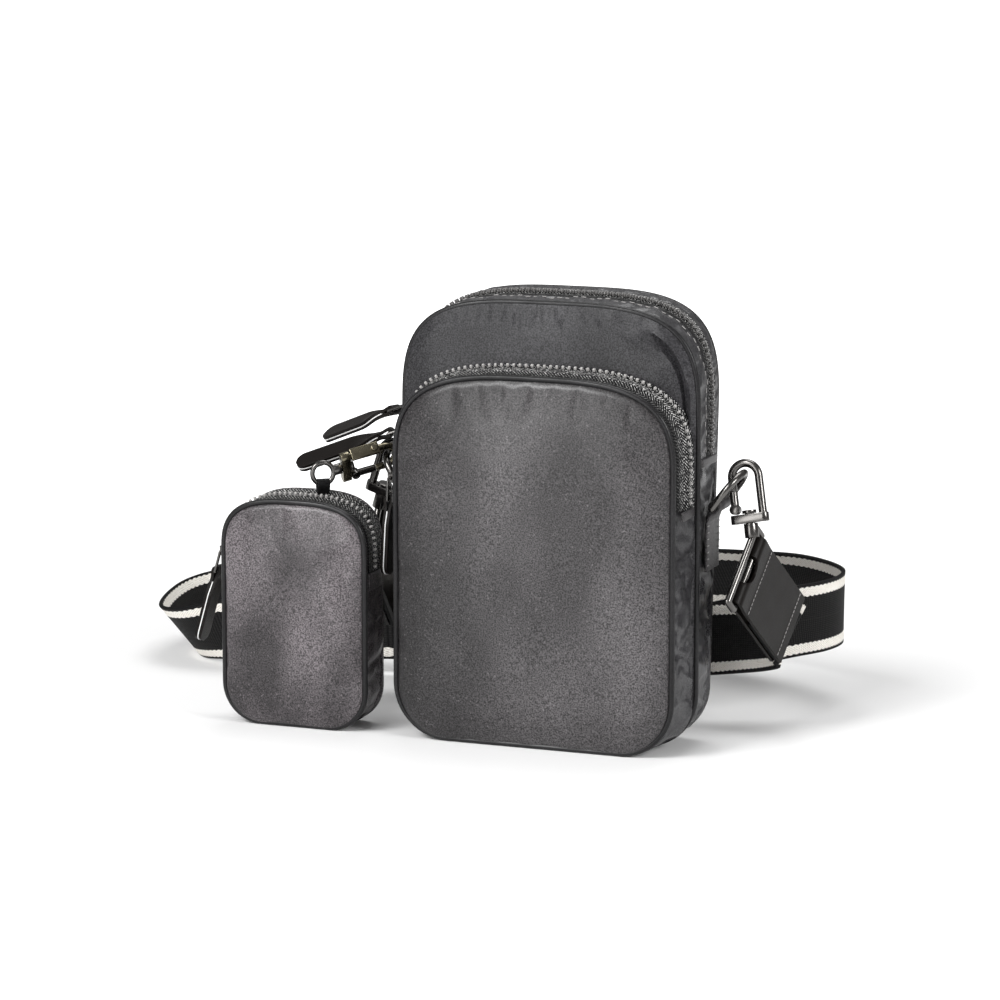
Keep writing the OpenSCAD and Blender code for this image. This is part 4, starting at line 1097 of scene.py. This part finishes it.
def pull(name, frame_of, length, body, node_name, roll):
    origin, through, across, up = frame_of
    at_wire = origin - LINK * up

    def twist(z):
        return roll * float(fade(-z, 3, 18))

    def half_width(z):
        down = -z
        wide = np.interp(down, [0, 3, 10, length], [2.5, 2.7, HALF_PULL, HALF_PULL])
        tip = max(0.0, 1 - max(0.0, (down - (length - HALF_PULL)) / HALF_PULL) ** 2) ** 0.5
        return max(wide * tip, 0.02)

    leaves = folded(name, at_wire, through, across, up, fold_path(0.9, 0.4, length, 0.7), half_width, 10,
                    twist=twist)
    hand_over(leaves, LEATHER, body, "leather", node_name)
    heights = np.linspace(-length + 0.05, -4.5, 46)
    t = np.linspace(-1, 1, 9)
    table = np.stack([at_wire + np.outer((half_width(z) + 0.12) * t, twisted(across, through, twist(z)))
                      + (z - 0.12) * up for z in heights])
    core = thicken(lay(name + "_core", table), 0.42, 0)
    hand_over(smooth(core), EDGE_LINE, body, "leather")


UPPER_Z, LOWER_Z, LONG_PULL, SHORT_PULL = 132, 123, 42, 31.5
pull_y = deep(TAPE_SHARES[1], (UPPER_Z + LOWER_Z) / 2)
PULLS = [("upper_pull_leather", (0, MAIN["half_w"], pull_y, UPPER_Z, 20, 69), LONG_PULL, "upper_pull",
          "main_pull_upper", 30),
         ("lower_pull_leather", (0, MAIN["half_w"], pull_y, LOWER_Z, -11, 69.5), LONG_PULL, "lower_pull",
          "main_pull_lower", 30),
         ("pocket_pull_leather", (0, 61.1, -5.6, 105, 0, 3), SHORT_PULL, "front_pocket_pull",
          "pocket_pull", 0),
         ("mini_pull_leather", (MINI_X, 31, -9.06, 70.3, 0, 16), SHORT_PULL, "mini_zip_pull",
          "mini_pull", 0)]
for name, place, length, body, node_name, roll in PULLS:
    pull(name, pull_frame(*place), length, body, node_name, roll)


# %% [markdown]
# ## Strap tabs
# The leather tab is folded round the hook's base ring. The fold has a bite cut out of its middle, so
# that the ring shows there. Two rows of stitches hold the leaves together round the webbing.

# %% Where the hooks and tabs hang
RING_BAR = (67.0, 17, 98.5)
RING_STRAIGHT, RING_BOW, RING_LEAN = 6, 10.5, 36


def ring_place(shift):
    """The point of the right D-ring's bow that lies shift behind its middle."""
    reach = RING_STRAIGHT + math.sqrt(RING_BOW ** 2 - shift ** 2)
    lean = math.radians(RING_LEAN)
    return np.array([RING_BAR[0] + reach * math.sin(lean), RING_BAR[1] + shift,
                     RING_BAR[2] + reach * math.cos(lean)])


STRAP_TURN, TAB_LEN, TAB_W, LOOP_LEN = 49.5, 46, 31, 5.8
BAR_SHIFT = TAB_W / 2 + 0.3 + 1.5 - 1.9 - 1 - 1.5


def tab_frame(side):
    """The middle of the base ring's first bar, and the tab's through, across and up."""
    rx, ry, yaw = ((-10.4, -11, 12), (6.7, -19.5, 8))[side]
    hook = turn_about("Y", ry) @ turn_about("X", rx)
    low = ring_place(4.5) - 26 * hook[:, 2]
    axes = turn_about("Z", -yaw) @ turn_about("X", STRAP_TURN)
    flip = np.array([1 if side == 0 else -1, 1, 1])
    through, across, up = (flip * axes[:, k] for k in range(3))
    origin = flip * low - BAR_SHIFT * across
    return origin, through if side == 0 else -through, across, up


# %% [markdown]
# The bite is cut with a round bar through both leaves, once the leather has its thickness, so that its
# rim is as clean as a punched one. The stitches are small bars, strewn in two rows on each side.

# %% The leather tabs
LEAF_T, STITCH_STEP = 1.5, 2.0
BITE_DOWN, BITE_WIDE, BITE_HIGH = 3.6, 6.2, 5.6


def bite_out(piece, at_bar, through, across, up):
    """Cuts the oval bite out of the fold."""
    fresh()
    bpy.ops.mesh.primitive_cylinder_add(vertices=48, radius=1, depth=30)
    bite = bpy.context.object
    co = points_of(bite)
    place_points(bite, (at_bar + BITE_DOWN * up + co[:, 2:] * through + co[:, :1] * BITE_WIDE * across
                        + co[:, 1:2] * BITE_HIGH * up) * MM)
    face_out(bite)
    choose(piece)
    cut = piece.modifiers.new("bite", "BOOLEAN")
    cut.object, cut.operation, cut.solver = bite, "DIFFERENCE", "EXACT"
    bpy.ops.object.modifier_apply(modifier=cut.name)
    bpy.data.objects.remove(bite)


def strap_tab(side, name, node_name):
    origin, through, across, up = tab_frame(side)
    at_bar = origin - LOOP_LEN * up
    path = fold_path(1.8, 2.2, TAB_LEN, 1.2, LEAF_T)
    piece = folded(name, at_bar, through, across, up, path, lambda z: TAB_W / 2, 16, LEAF_T, 0)
    bite_out(piece, at_bar, through, across, up)
    round_edges(piece, 0.4, 3)
    hand_over(smooth(piece, 50), LEATHER, "pouch", "leather", node_name)
    places = []
    for down in (8, 41):
        for out in (-1, 1):
            for k in range(15):
                on_leaf = (k - 7) * STITCH_STEP * across + out * (1.1 + LEAF_T + 0.05) * through
                places.append((at_bar - down * up + on_leaf, across, out * up, out * through))
    stitches = strew(name + "_stitches", tooth_shape(0.4, 1.35, 0.3), places, GREY_THREAD)
    hand_over(stitches, GREY_THREAD, "pouch", "leather")


strap_tab(0, "tab_right", "strap_tab_right")
strap_tab(1, "tab_left", "strap_tab_left")


# %% [markdown]
# ## The webbing
# The strap stands on its edge and wanders behind the bags in loose loops. It follows the same stops
# as the CAD strap, joined by a smooth curve. Its two twill stripes and the ribs come from the UV map.

# %% Route of the strap
REACH = (0.35, 0.68, 0.92, 1.02)
ROUTE = ((0.701, 0.402, 0.264, 23), (0.69, 0.414, 0.275, 38), (0.66, 0.42, 0.272, 40),
         (0.6, 0.41, 0.255, 34), (0.52, 0.384, 0.24, 26), (0.42, 0.36, 0.22, 14),
         (0.3, 0.335, 0.2, 6), (0.16, 0.315, 0.18, 0), (0.05, 0.33, 0.18, 0),
         (0.02, 0.37, 0.18, 0), (0.08, 0.4, 0.18, 0), (0.22, 0.405, 0.18, 0),
         (0.38, 0.425, 0.19, 0), (0.52, 0.475, 0.23, 0), (0.66, 0.56, 0.262, 0),
         (0.745, 0.64, 0.275, 0), (0.775, 0.74, 0.28, 0), (0.755, 0.84, 0.285, 0),
         (0.69, 0.93, 0.295, -8), (0.58, 1.01, 0.31, -18), (0.43, 1.09, 0.315, -28),
         (0.26, 1.16, 0.3, -30), (0.06, 1.22, 0.26, -25), (-0.18, 1.28, 0.2, -15),
         (-0.5, 1.33, 0.12, -5), (-0.83, 1.35, 0.05, 0), (-1.17, 1.34, 0.02, 5),
         (-1.46, 1.29, 0.01, 10), (-1.66, 1.18, 0, 16), (-1.725, 1.02, 0, 22),
         (-1.71, 0.84, 0, 30), (-1.66, 0.7, 0, 38), (-1.56, 0.62, 0.01, 34), (-1.4, 0.6, 0.03, 18),
         (-1.14, 0.63, 0.055, 4), (-0.84, 0.68, 0.073, 0), (-0.55, 0.69, 0.09, 0),
         (-0.33, 0.65, 0.11, 0), (-0.21, 0.6, 0.12, 0), (-0.2, 0.54, 0.13, 0),
         (-0.28, 0.505, 0.15, 0), (-0.41, 0.505, 0.18, 6), (-0.52, 0.495, 0.215, 16),
         (-0.61, 0.485, 0.25, 29), (-0.67, 0.482, 0.278, 40), (-0.701, 0.478, 0.282, 38),
         (-0.712, 0.467, 0.272, 23))
WEB_W, WEB_T = 30, 1.6


def strap_line(bends):
    stops = []
    for side in (0, 1):
        origin, through, across, up = tab_frame(side)
        inside = [np.append(origin - (LOOP_LEN + r * TAB_LEN) * up, 0) for r in REACH]
        stops.append(inside if side == 0 else inside[::-1])
    route = [np.array([x * 125, y * 125, z * 98.5 + WEB_W / 2 * math.cos(math.radians(lean)), lean])
             for x, y, z, lean in ROUTE]
    p = np.array(stops[0] + route + stops[1])
    p = np.concatenate([p[:1], p, p[-1:]])
    out = []
    for a, b, c, d in zip(p[:-3], p[1:-2], p[2:-1], p[3:]):
        for t in np.arange(bends) / bends:
            out.append(0.5 * (2 * b + (c - a) * t + (2 * a - 5 * b + 4 * c - d) * t * t
                              + (3 * b - a - 3 * c + d) * t ** 3))
    return np.array(out + [p[-2]])


# %% [markdown]
# The webbing is black with two cream stripes. The stripes are woven as a twill, which gives them
# slanting ribs and scalloped borders. Real yarns would be too many, so all of it is drawn from the
# distance along the strap and the distance from its edge.

# %% Striped webbing
def webbing_finish(length_mm):
    finish, shader = new_finish("striped webbing", (0.012, 0.012, 0.013), 0.6, Specular_IOR_Level=0.12)
    uv = node(finish, "ShaderNodeSeparateXYZ", {0: node(finish, "ShaderNodeUVMap").outputs[0]})
    along = sums(finish, "MULTIPLY", uv.outputs[0], length_mm)
    edge = sums(finish, "MULTIPLY", sums(finish, "SUBTRACT", 0.5, sums(finish, "ABSOLUTE", sums(
        finish, "SUBTRACT", uv.outputs[1], 0.5))), WEB_W)
    wave = sums(finish, "MULTIPLY", ribs(finish, along, 2.6), 0.55)
    outer = sums(finish, "GREATER_THAN", sums(finish, "ADD", edge, wave), 1.55)
    inner = sums(finish, "LESS_THAN", sums(finish, "SUBTRACT", edge, wave), 4.75)
    stripe = sums(finish, "MULTIPLY", outer, inner)
    slant = sums(finish, "ADD", along, sums(finish, "MULTIPLY", edge, 1.2))
    twill = ribs(finish, slant, 1.3)
    weave = sums(finish, "MULTIPLY", ribs(finish, along, 1.1), ribs(finish, edge, 0.8))
    black = between(finish, weave, (0.0015, 0.0015, 0.0018), (0.02, 0.0195, 0.019))
    cream = between(finish, sums(finish, "ADD", twill, grain(finish, 1.5)), (0.6, 0.55, 0.48),
                    (0.95, 0.92, 0.86), 0.2, 1.2)
    wire(finish, between(finish, stripe, black, cream), shader.inputs["Base Color"])
    raised = sums(finish, "ADD", 0.4, sums(finish, "MULTIPLY", twill, 0.6))
    height = sums(finish, "ADD", sums(finish, "MULTIPLY", weave, 0.6),
                  sums(finish, "MULTIPLY", stripe, raised))
    emboss(finish, shader, height, 0.3, 1.0)
    return finish


# %% [markdown]
# The strap is laid as a long grid. At each station one direction runs along the strap, one through it
# and one up it. A curve with a flat section would twist where it likes. Here the lean turns the last
# two directions, so that the strap lies slantwise in its bends only.

# %% Laying the strap
stations = strap_line(10)
centre, lean = stations[:, :3], np.radians(stations[:, 3:])
along = np.gradient(centre, axis=0)
along /= np.linalg.norm(along, axis=1, keepdims=True)
flat_side = np.stack([-along[:, 1], along[:, 0], np.zeros(len(along))], 1)
flat_side /= np.linalg.norm(flat_side, axis=1, keepdims=True)
rise = np.cross(along, flat_side)
upward = rise * np.cos(lean) - flat_side * np.sin(lean)
flat_side = flat_side * np.cos(lean) + rise * np.sin(lean)
rows = np.linspace(-0.5, 0.5, 13)
curl = 0.35 * rumple(np.arange(len(centre)), 0, 61, 26)
webbing = lay("webbing", np.stack([centre + upward * WEB_W * r
                                   + flat_side * (curl * (4 * r * r - 0.5))[:, None] for r in rows]))
round_edges(thicken(webbing, WEB_T, 0), 0.4, degrees=60)
strap_length = float(np.linalg.norm(np.diff(centre, axis=0), axis=1).sum())
hand_over(smooth(webbing, 50), webbing_finish(strap_length), "pouch", "webbing", "strap_webbing")
print("strap length", round(strap_length), "mm")


# %% [markdown]
# ## Small cloth tabs
# Zip ends are covered by folded tabs of the same nylon, and the D-rings hang in cloth tabs that are
# sewn flat to the sides. The little pouch hangs by a narrow loop.

# %% Folded patches over the zip ends
def patch(name, middle, sign, size, body, finish, slot, *stands_for):
    """A flat folded patch. sign is 1 on the right side and -1 on the left."""
    piece = block()
    piece.name = piece.data.name = name
    place_points(piece, (points_of(piece) * size + middle) * MM)
    edit(piece, lambda: bpy.ops.mesh.subdivide(number_cuts=5))
    co = points_of(piece) / MM
    rel = (co - middle) / (np.array(size) / 2)
    shrink = 1 - 0.10 * (np.abs(rel[:, [1]]) ** 4 + np.abs(rel[:, [2]]) ** 4)
    co[:, [0]] = middle[0] + (co[:, [0]] - middle[0]) * shrink
    co[:, 0] += 0.12 * rumple(co[:, 1], co[:, 2], 71, 3) * sign
    place_points(piece, co * MM)
    return hand_over(smooth(round_edges(piece, 0.3), 60), finish, body, slot, *stands_for)


zip_y = deep(TAPE_SHARES[1], MAIN["end_z"])
ENDS = [("main", "pouch", NYLON, "nylon", (0, zip_y - 3.2, 116.6), 63.0, (1.3, 22, 3.4)),
        ("pocket", "pouch", NYLON, "nylon", (0, -8.4, 98.3), 61.75, (1.3, 14.6, 3.6)),
        ("mini", "mini_pouch", MINI_NYLON, "mini_nylon", (MINI_X, -8.6, 62.5), 31.5, (1.1, 13, 7))]
for kind, body, finish, slot, (x_mid, y, z), out, size in ENDS:
    for side, sign in (("right", 1), ("left", -1)):
        stands_for = [kind + "_zip_end_tabs"] if side == "right" else []
        patch(f"{kind}_end_{side}", (x_mid + sign * out, y, z), sign, size, body, finish, slot, *stands_for)


# %% [markdown]
# Each D-ring hangs in a cloth tab: a strip that goes once round the ring's bar and down the side,
# where two rows of stitches hold it. It bends in one direction only, so a line of points that is
# drawn out sideways gives its whole shape.

# %% Cloth tabs of the D-rings and the little pouch's loop
def cloth_tab(side, name, node_name):
    flip = 1 if side == 0 else -1
    bar_x, bar_y, bar_z = RING_BAR
    drop = [(bar_x - 2.15, bar_z), (bar_x - 1.5, 100.1), (bar_x, 100.7), (bar_x + 1.5, 100.1),
            (bar_x + 2.15, bar_z), (bar_x + 1.4, 96.9), (65.4, 95.4), (64.1, 92), (63.9, 84), (63.9, 72.0)]
    t = np.linspace(-1, 1, 13)
    table = np.stack([np.stack([np.full(13, flip * x), bar_y + 8.4 * t, np.full(13, z)], 1)
                      for x, z in evenly(drop, 40)])
    table[..., 0] += flip * 0.25 * rumple(table[..., 1], table[..., 2], 81 + side, 6)
    piece = round_edges(thicken(face_out(lay(name, table)), 1.0, 0), 0.3)
    hand_over(smooth(piece, 60), NYLON, "pouch", "nylon", node_name)
    stitch_places = []
    for y in (bar_y - 7, bar_y + 7):
        for k in range(7):
            stitch_places.append((np.array([flip * 64.55, y, 74.5 + 2.7 * k]), np.array([0, 0, 1.0]),
                                  np.array([0, flip * 1.0, 0]), np.array([-1.0 * flip, 0, 0])))
    stitches = strew(name + "_stitches", tooth_shape(1.9, 0.45, 0.4), stitch_places, GREY_THREAD)
    hand_over(stitches, GREY_THREAD, "pouch", "nylon")


cloth_tab(0, "ring_tab_right", "side_tab_right")
cloth_tab(1, "ring_tab_left", "side_tab_left")

# %% [markdown]
# The little pouch hangs by a narrow dark loop round the ring of its clasp. It is a folded strip like
# the pulls, only smaller, and it is turned about the upright by as much as the clasp.

# %% The little pouch's loop
CLASP_TURN = 38
turned = turn_about("Z", CLASP_TURN)
loop_at = np.array([-97.596, -4.292, 100.2])
loop = folded("mini_loop", loop_at, turned[:, 1], turned[:, 0], np.array([0, 0, 1.0]),
              fold_path(1.5, 0.1, 4.2, 0.4, 0.8), lambda z: 2.6, 8, 0.8, 0.25)
hand_over(loop, DARK_CLOTH, "mini_pouch", "nylon", "mini_loop_tab")

# %% [markdown]
# The clasp's back is a flat bar with a rivet, which faces the camera in the photograph. The CAD clasp
# has a round wire there, so a small plate and a rivet are laid over it and ride on the same body.

# %% The clasp's flat back and its rivet
clasp_ways = turn_about("Z", CLASP_TURN) @ turn_about("Y", 76.9) @ turn_about("Z", 210)
clasp_top = np.array([-76.103, 12.5, 111.029])
spine_at = clasp_top + clasp_ways @ np.array([5.1, 0, 0])
facing = np.array([-0.03, -0.87, 0.3])
spine_up = clasp_ways[:, 2]
facing = facing - np.dot(facing, spine_up) * spine_up
facing /= np.linalg.norm(facing)
wide = np.cross(spine_up, facing)


def spine_piece(name, unit, at, depth):
    """Moves a piece onto the clasp's back: at along it and depth out of it."""
    co = points_of(unit)
    place_points(unit, (spine_at + co[:, :1] * wide + co[:, 1:2] * facing + co[:, 2:] * spine_up
                        + at * spine_up + depth * facing) * MM)
    unit.name = unit.data.name = name
    round_edges(face_out(unit), 0.35, 3)
    return hand_over(smooth(unit, 45), OLIVE_METAL, "clasp", "gunmetal")


plate = block()
place_points(plate, points_of(plate) * [5.2, 1.7, 12.4])
spine_piece("clasp_plate", plate, -9.4, 0.9)
fresh()
bpy.ops.mesh.primitive_cylinder_add(vertices=28, radius=1.5, depth=1.2, rotation=(math.radians(90), 0, 0))
rivet = bpy.context.object
bpy.ops.object.transform_apply(location=False, rotation=True, scale=True)
spine_piece("clasp_rivet", rivet, -5.2, 2.0)

# %% [markdown]
# The linings, the divider and the springs are hidden inside. New shapes would not be seen, so they
# stay as they are in the CAD model and get a finish of their own.

# %% Linings and springs
KEPT = {LINING: ("main_lining", "inner_divider", "pocket_lining", "mini_lining"),
        STEEL: ("hook_gate_spring_right", "hook_gate_spring_left", "mini_clasp_spring")}
for finish, names in KEPT.items():
    for name in names:
        nodes[name].data.materials.clear()
        nodes[name].data.materials.append(finish)
    print(finish.name, "on", ", ".join(names))

# %% [markdown]
# ## Floor and light
# The floor is pale and keeps the object's shadow near it. Further off it is made white, but for the
# camera only, so that it doesn't fill the dark cloth with light.

# %% Floor
fresh()
bpy.ops.mesh.primitive_plane_add(size=30, location=(0, 0, 0))
floor = bpy.context.object
floor.name = "floor"
white, white_shader = new_finish("white floor", (0.76, 0.76, 0.76), 1.0, Specular_IOR_Level=0.0)
seen = node(white, "ShaderNodeLightPath").outputs["Is Camera Ray"]
white_shader.inputs["Emission Color"].default_value = (1, 1, 1, 1)
far_off = node(white, "ShaderNodeVectorMath", {0: object_place(white)}, operation="LENGTH")
glow = node(white, "ShaderNodeMapRange", {"Value": far_off.outputs["Value"], "From Min": 0.3,
            "From Max": 0.8, "To Min": 0.02, "To Max": 1.0}).outputs[0]
wire(white, sums(white, "MULTIPLY", seen, glow), white_shader.inputs["Emission Strength"])
floor.data.materials.append(white)
print(floor.name, "stays pale near the object and is white to the camera further off")

# %% [markdown]
# The world is white to the camera too, and only a third as strong to everything else. What it gives
# the object is the even, weak light of a pale room.

# %% World
world = bpy.data.worlds.new("studio")
bpy.context.scene.world = world
world.use_nodes = True
background = world.node_tree.nodes["Background"]
to_camera = world.node_tree.nodes.new("ShaderNodeLightPath").outputs["Is Camera Ray"]
strength = world.node_tree.nodes.new("ShaderNodeMapRange")
strength.inputs["To Min"].default_value = 0.3
strength.inputs["To Max"].default_value = 1.0
world.node_tree.links.new(to_camera, strength.inputs["Value"])
world.node_tree.links.new(strength.outputs[0], background.inputs["Strength"])
background.inputs["Color"].default_value = (1, 1, 1, 1)
bpy.context.scene.view_settings.view_transform = "Standard"
print(world.name, "lights the object with", round(strength.inputs["To Min"].default_value, 2))


# %% [markdown]
# A broad sun from the front left gives the soft shadow. Four soft boxes give the satin and the metal
# something to shine with: a low strip and a key in front, one on the right and one above. A picture
# of a studio could do it too, but lamps can be set one by one.

# %% Lamps
AIM = Vector((0, 0, 0.08))


def soft_light(name, place, size, watts, tall=None):
    turn = (AIM - Vector(place)).to_track_quat("-Z", "Y").to_euler()
    fresh()
    bpy.ops.object.light_add(type="AREA", location=place, rotation=turn)
    lamp = bpy.context.object
    lamp.name = name
    lamp.data.energy = watts
    lamp.data.size = size
    if tall:
        lamp.data.shape, lamp.data.size_y = "RECTANGLE", tall
    print(f"{name}: {watts} W at {place}")


fresh()
bpy.ops.object.light_add(type="SUN", rotation=(math.radians(38), math.radians(-32), 0))
sun = bpy.context.object
sun.data.energy = 2.1
sun.data.angle = math.radians(24)
soft_light("low strip", (-0.42, -1.28, 0.3), 0.5, 6, tall=0.7)
soft_light("key", (-0.3, -1.2, 1.2), 0.6, 7)
soft_light("right", (1.3, -0.4, 0.8), 0.5, 13)
soft_light("top", (0.0, 0.5, 1.4), 0.8, 9)

# %% [markdown]
# Last, nothing is left selected.

# %% Finish
fresh()
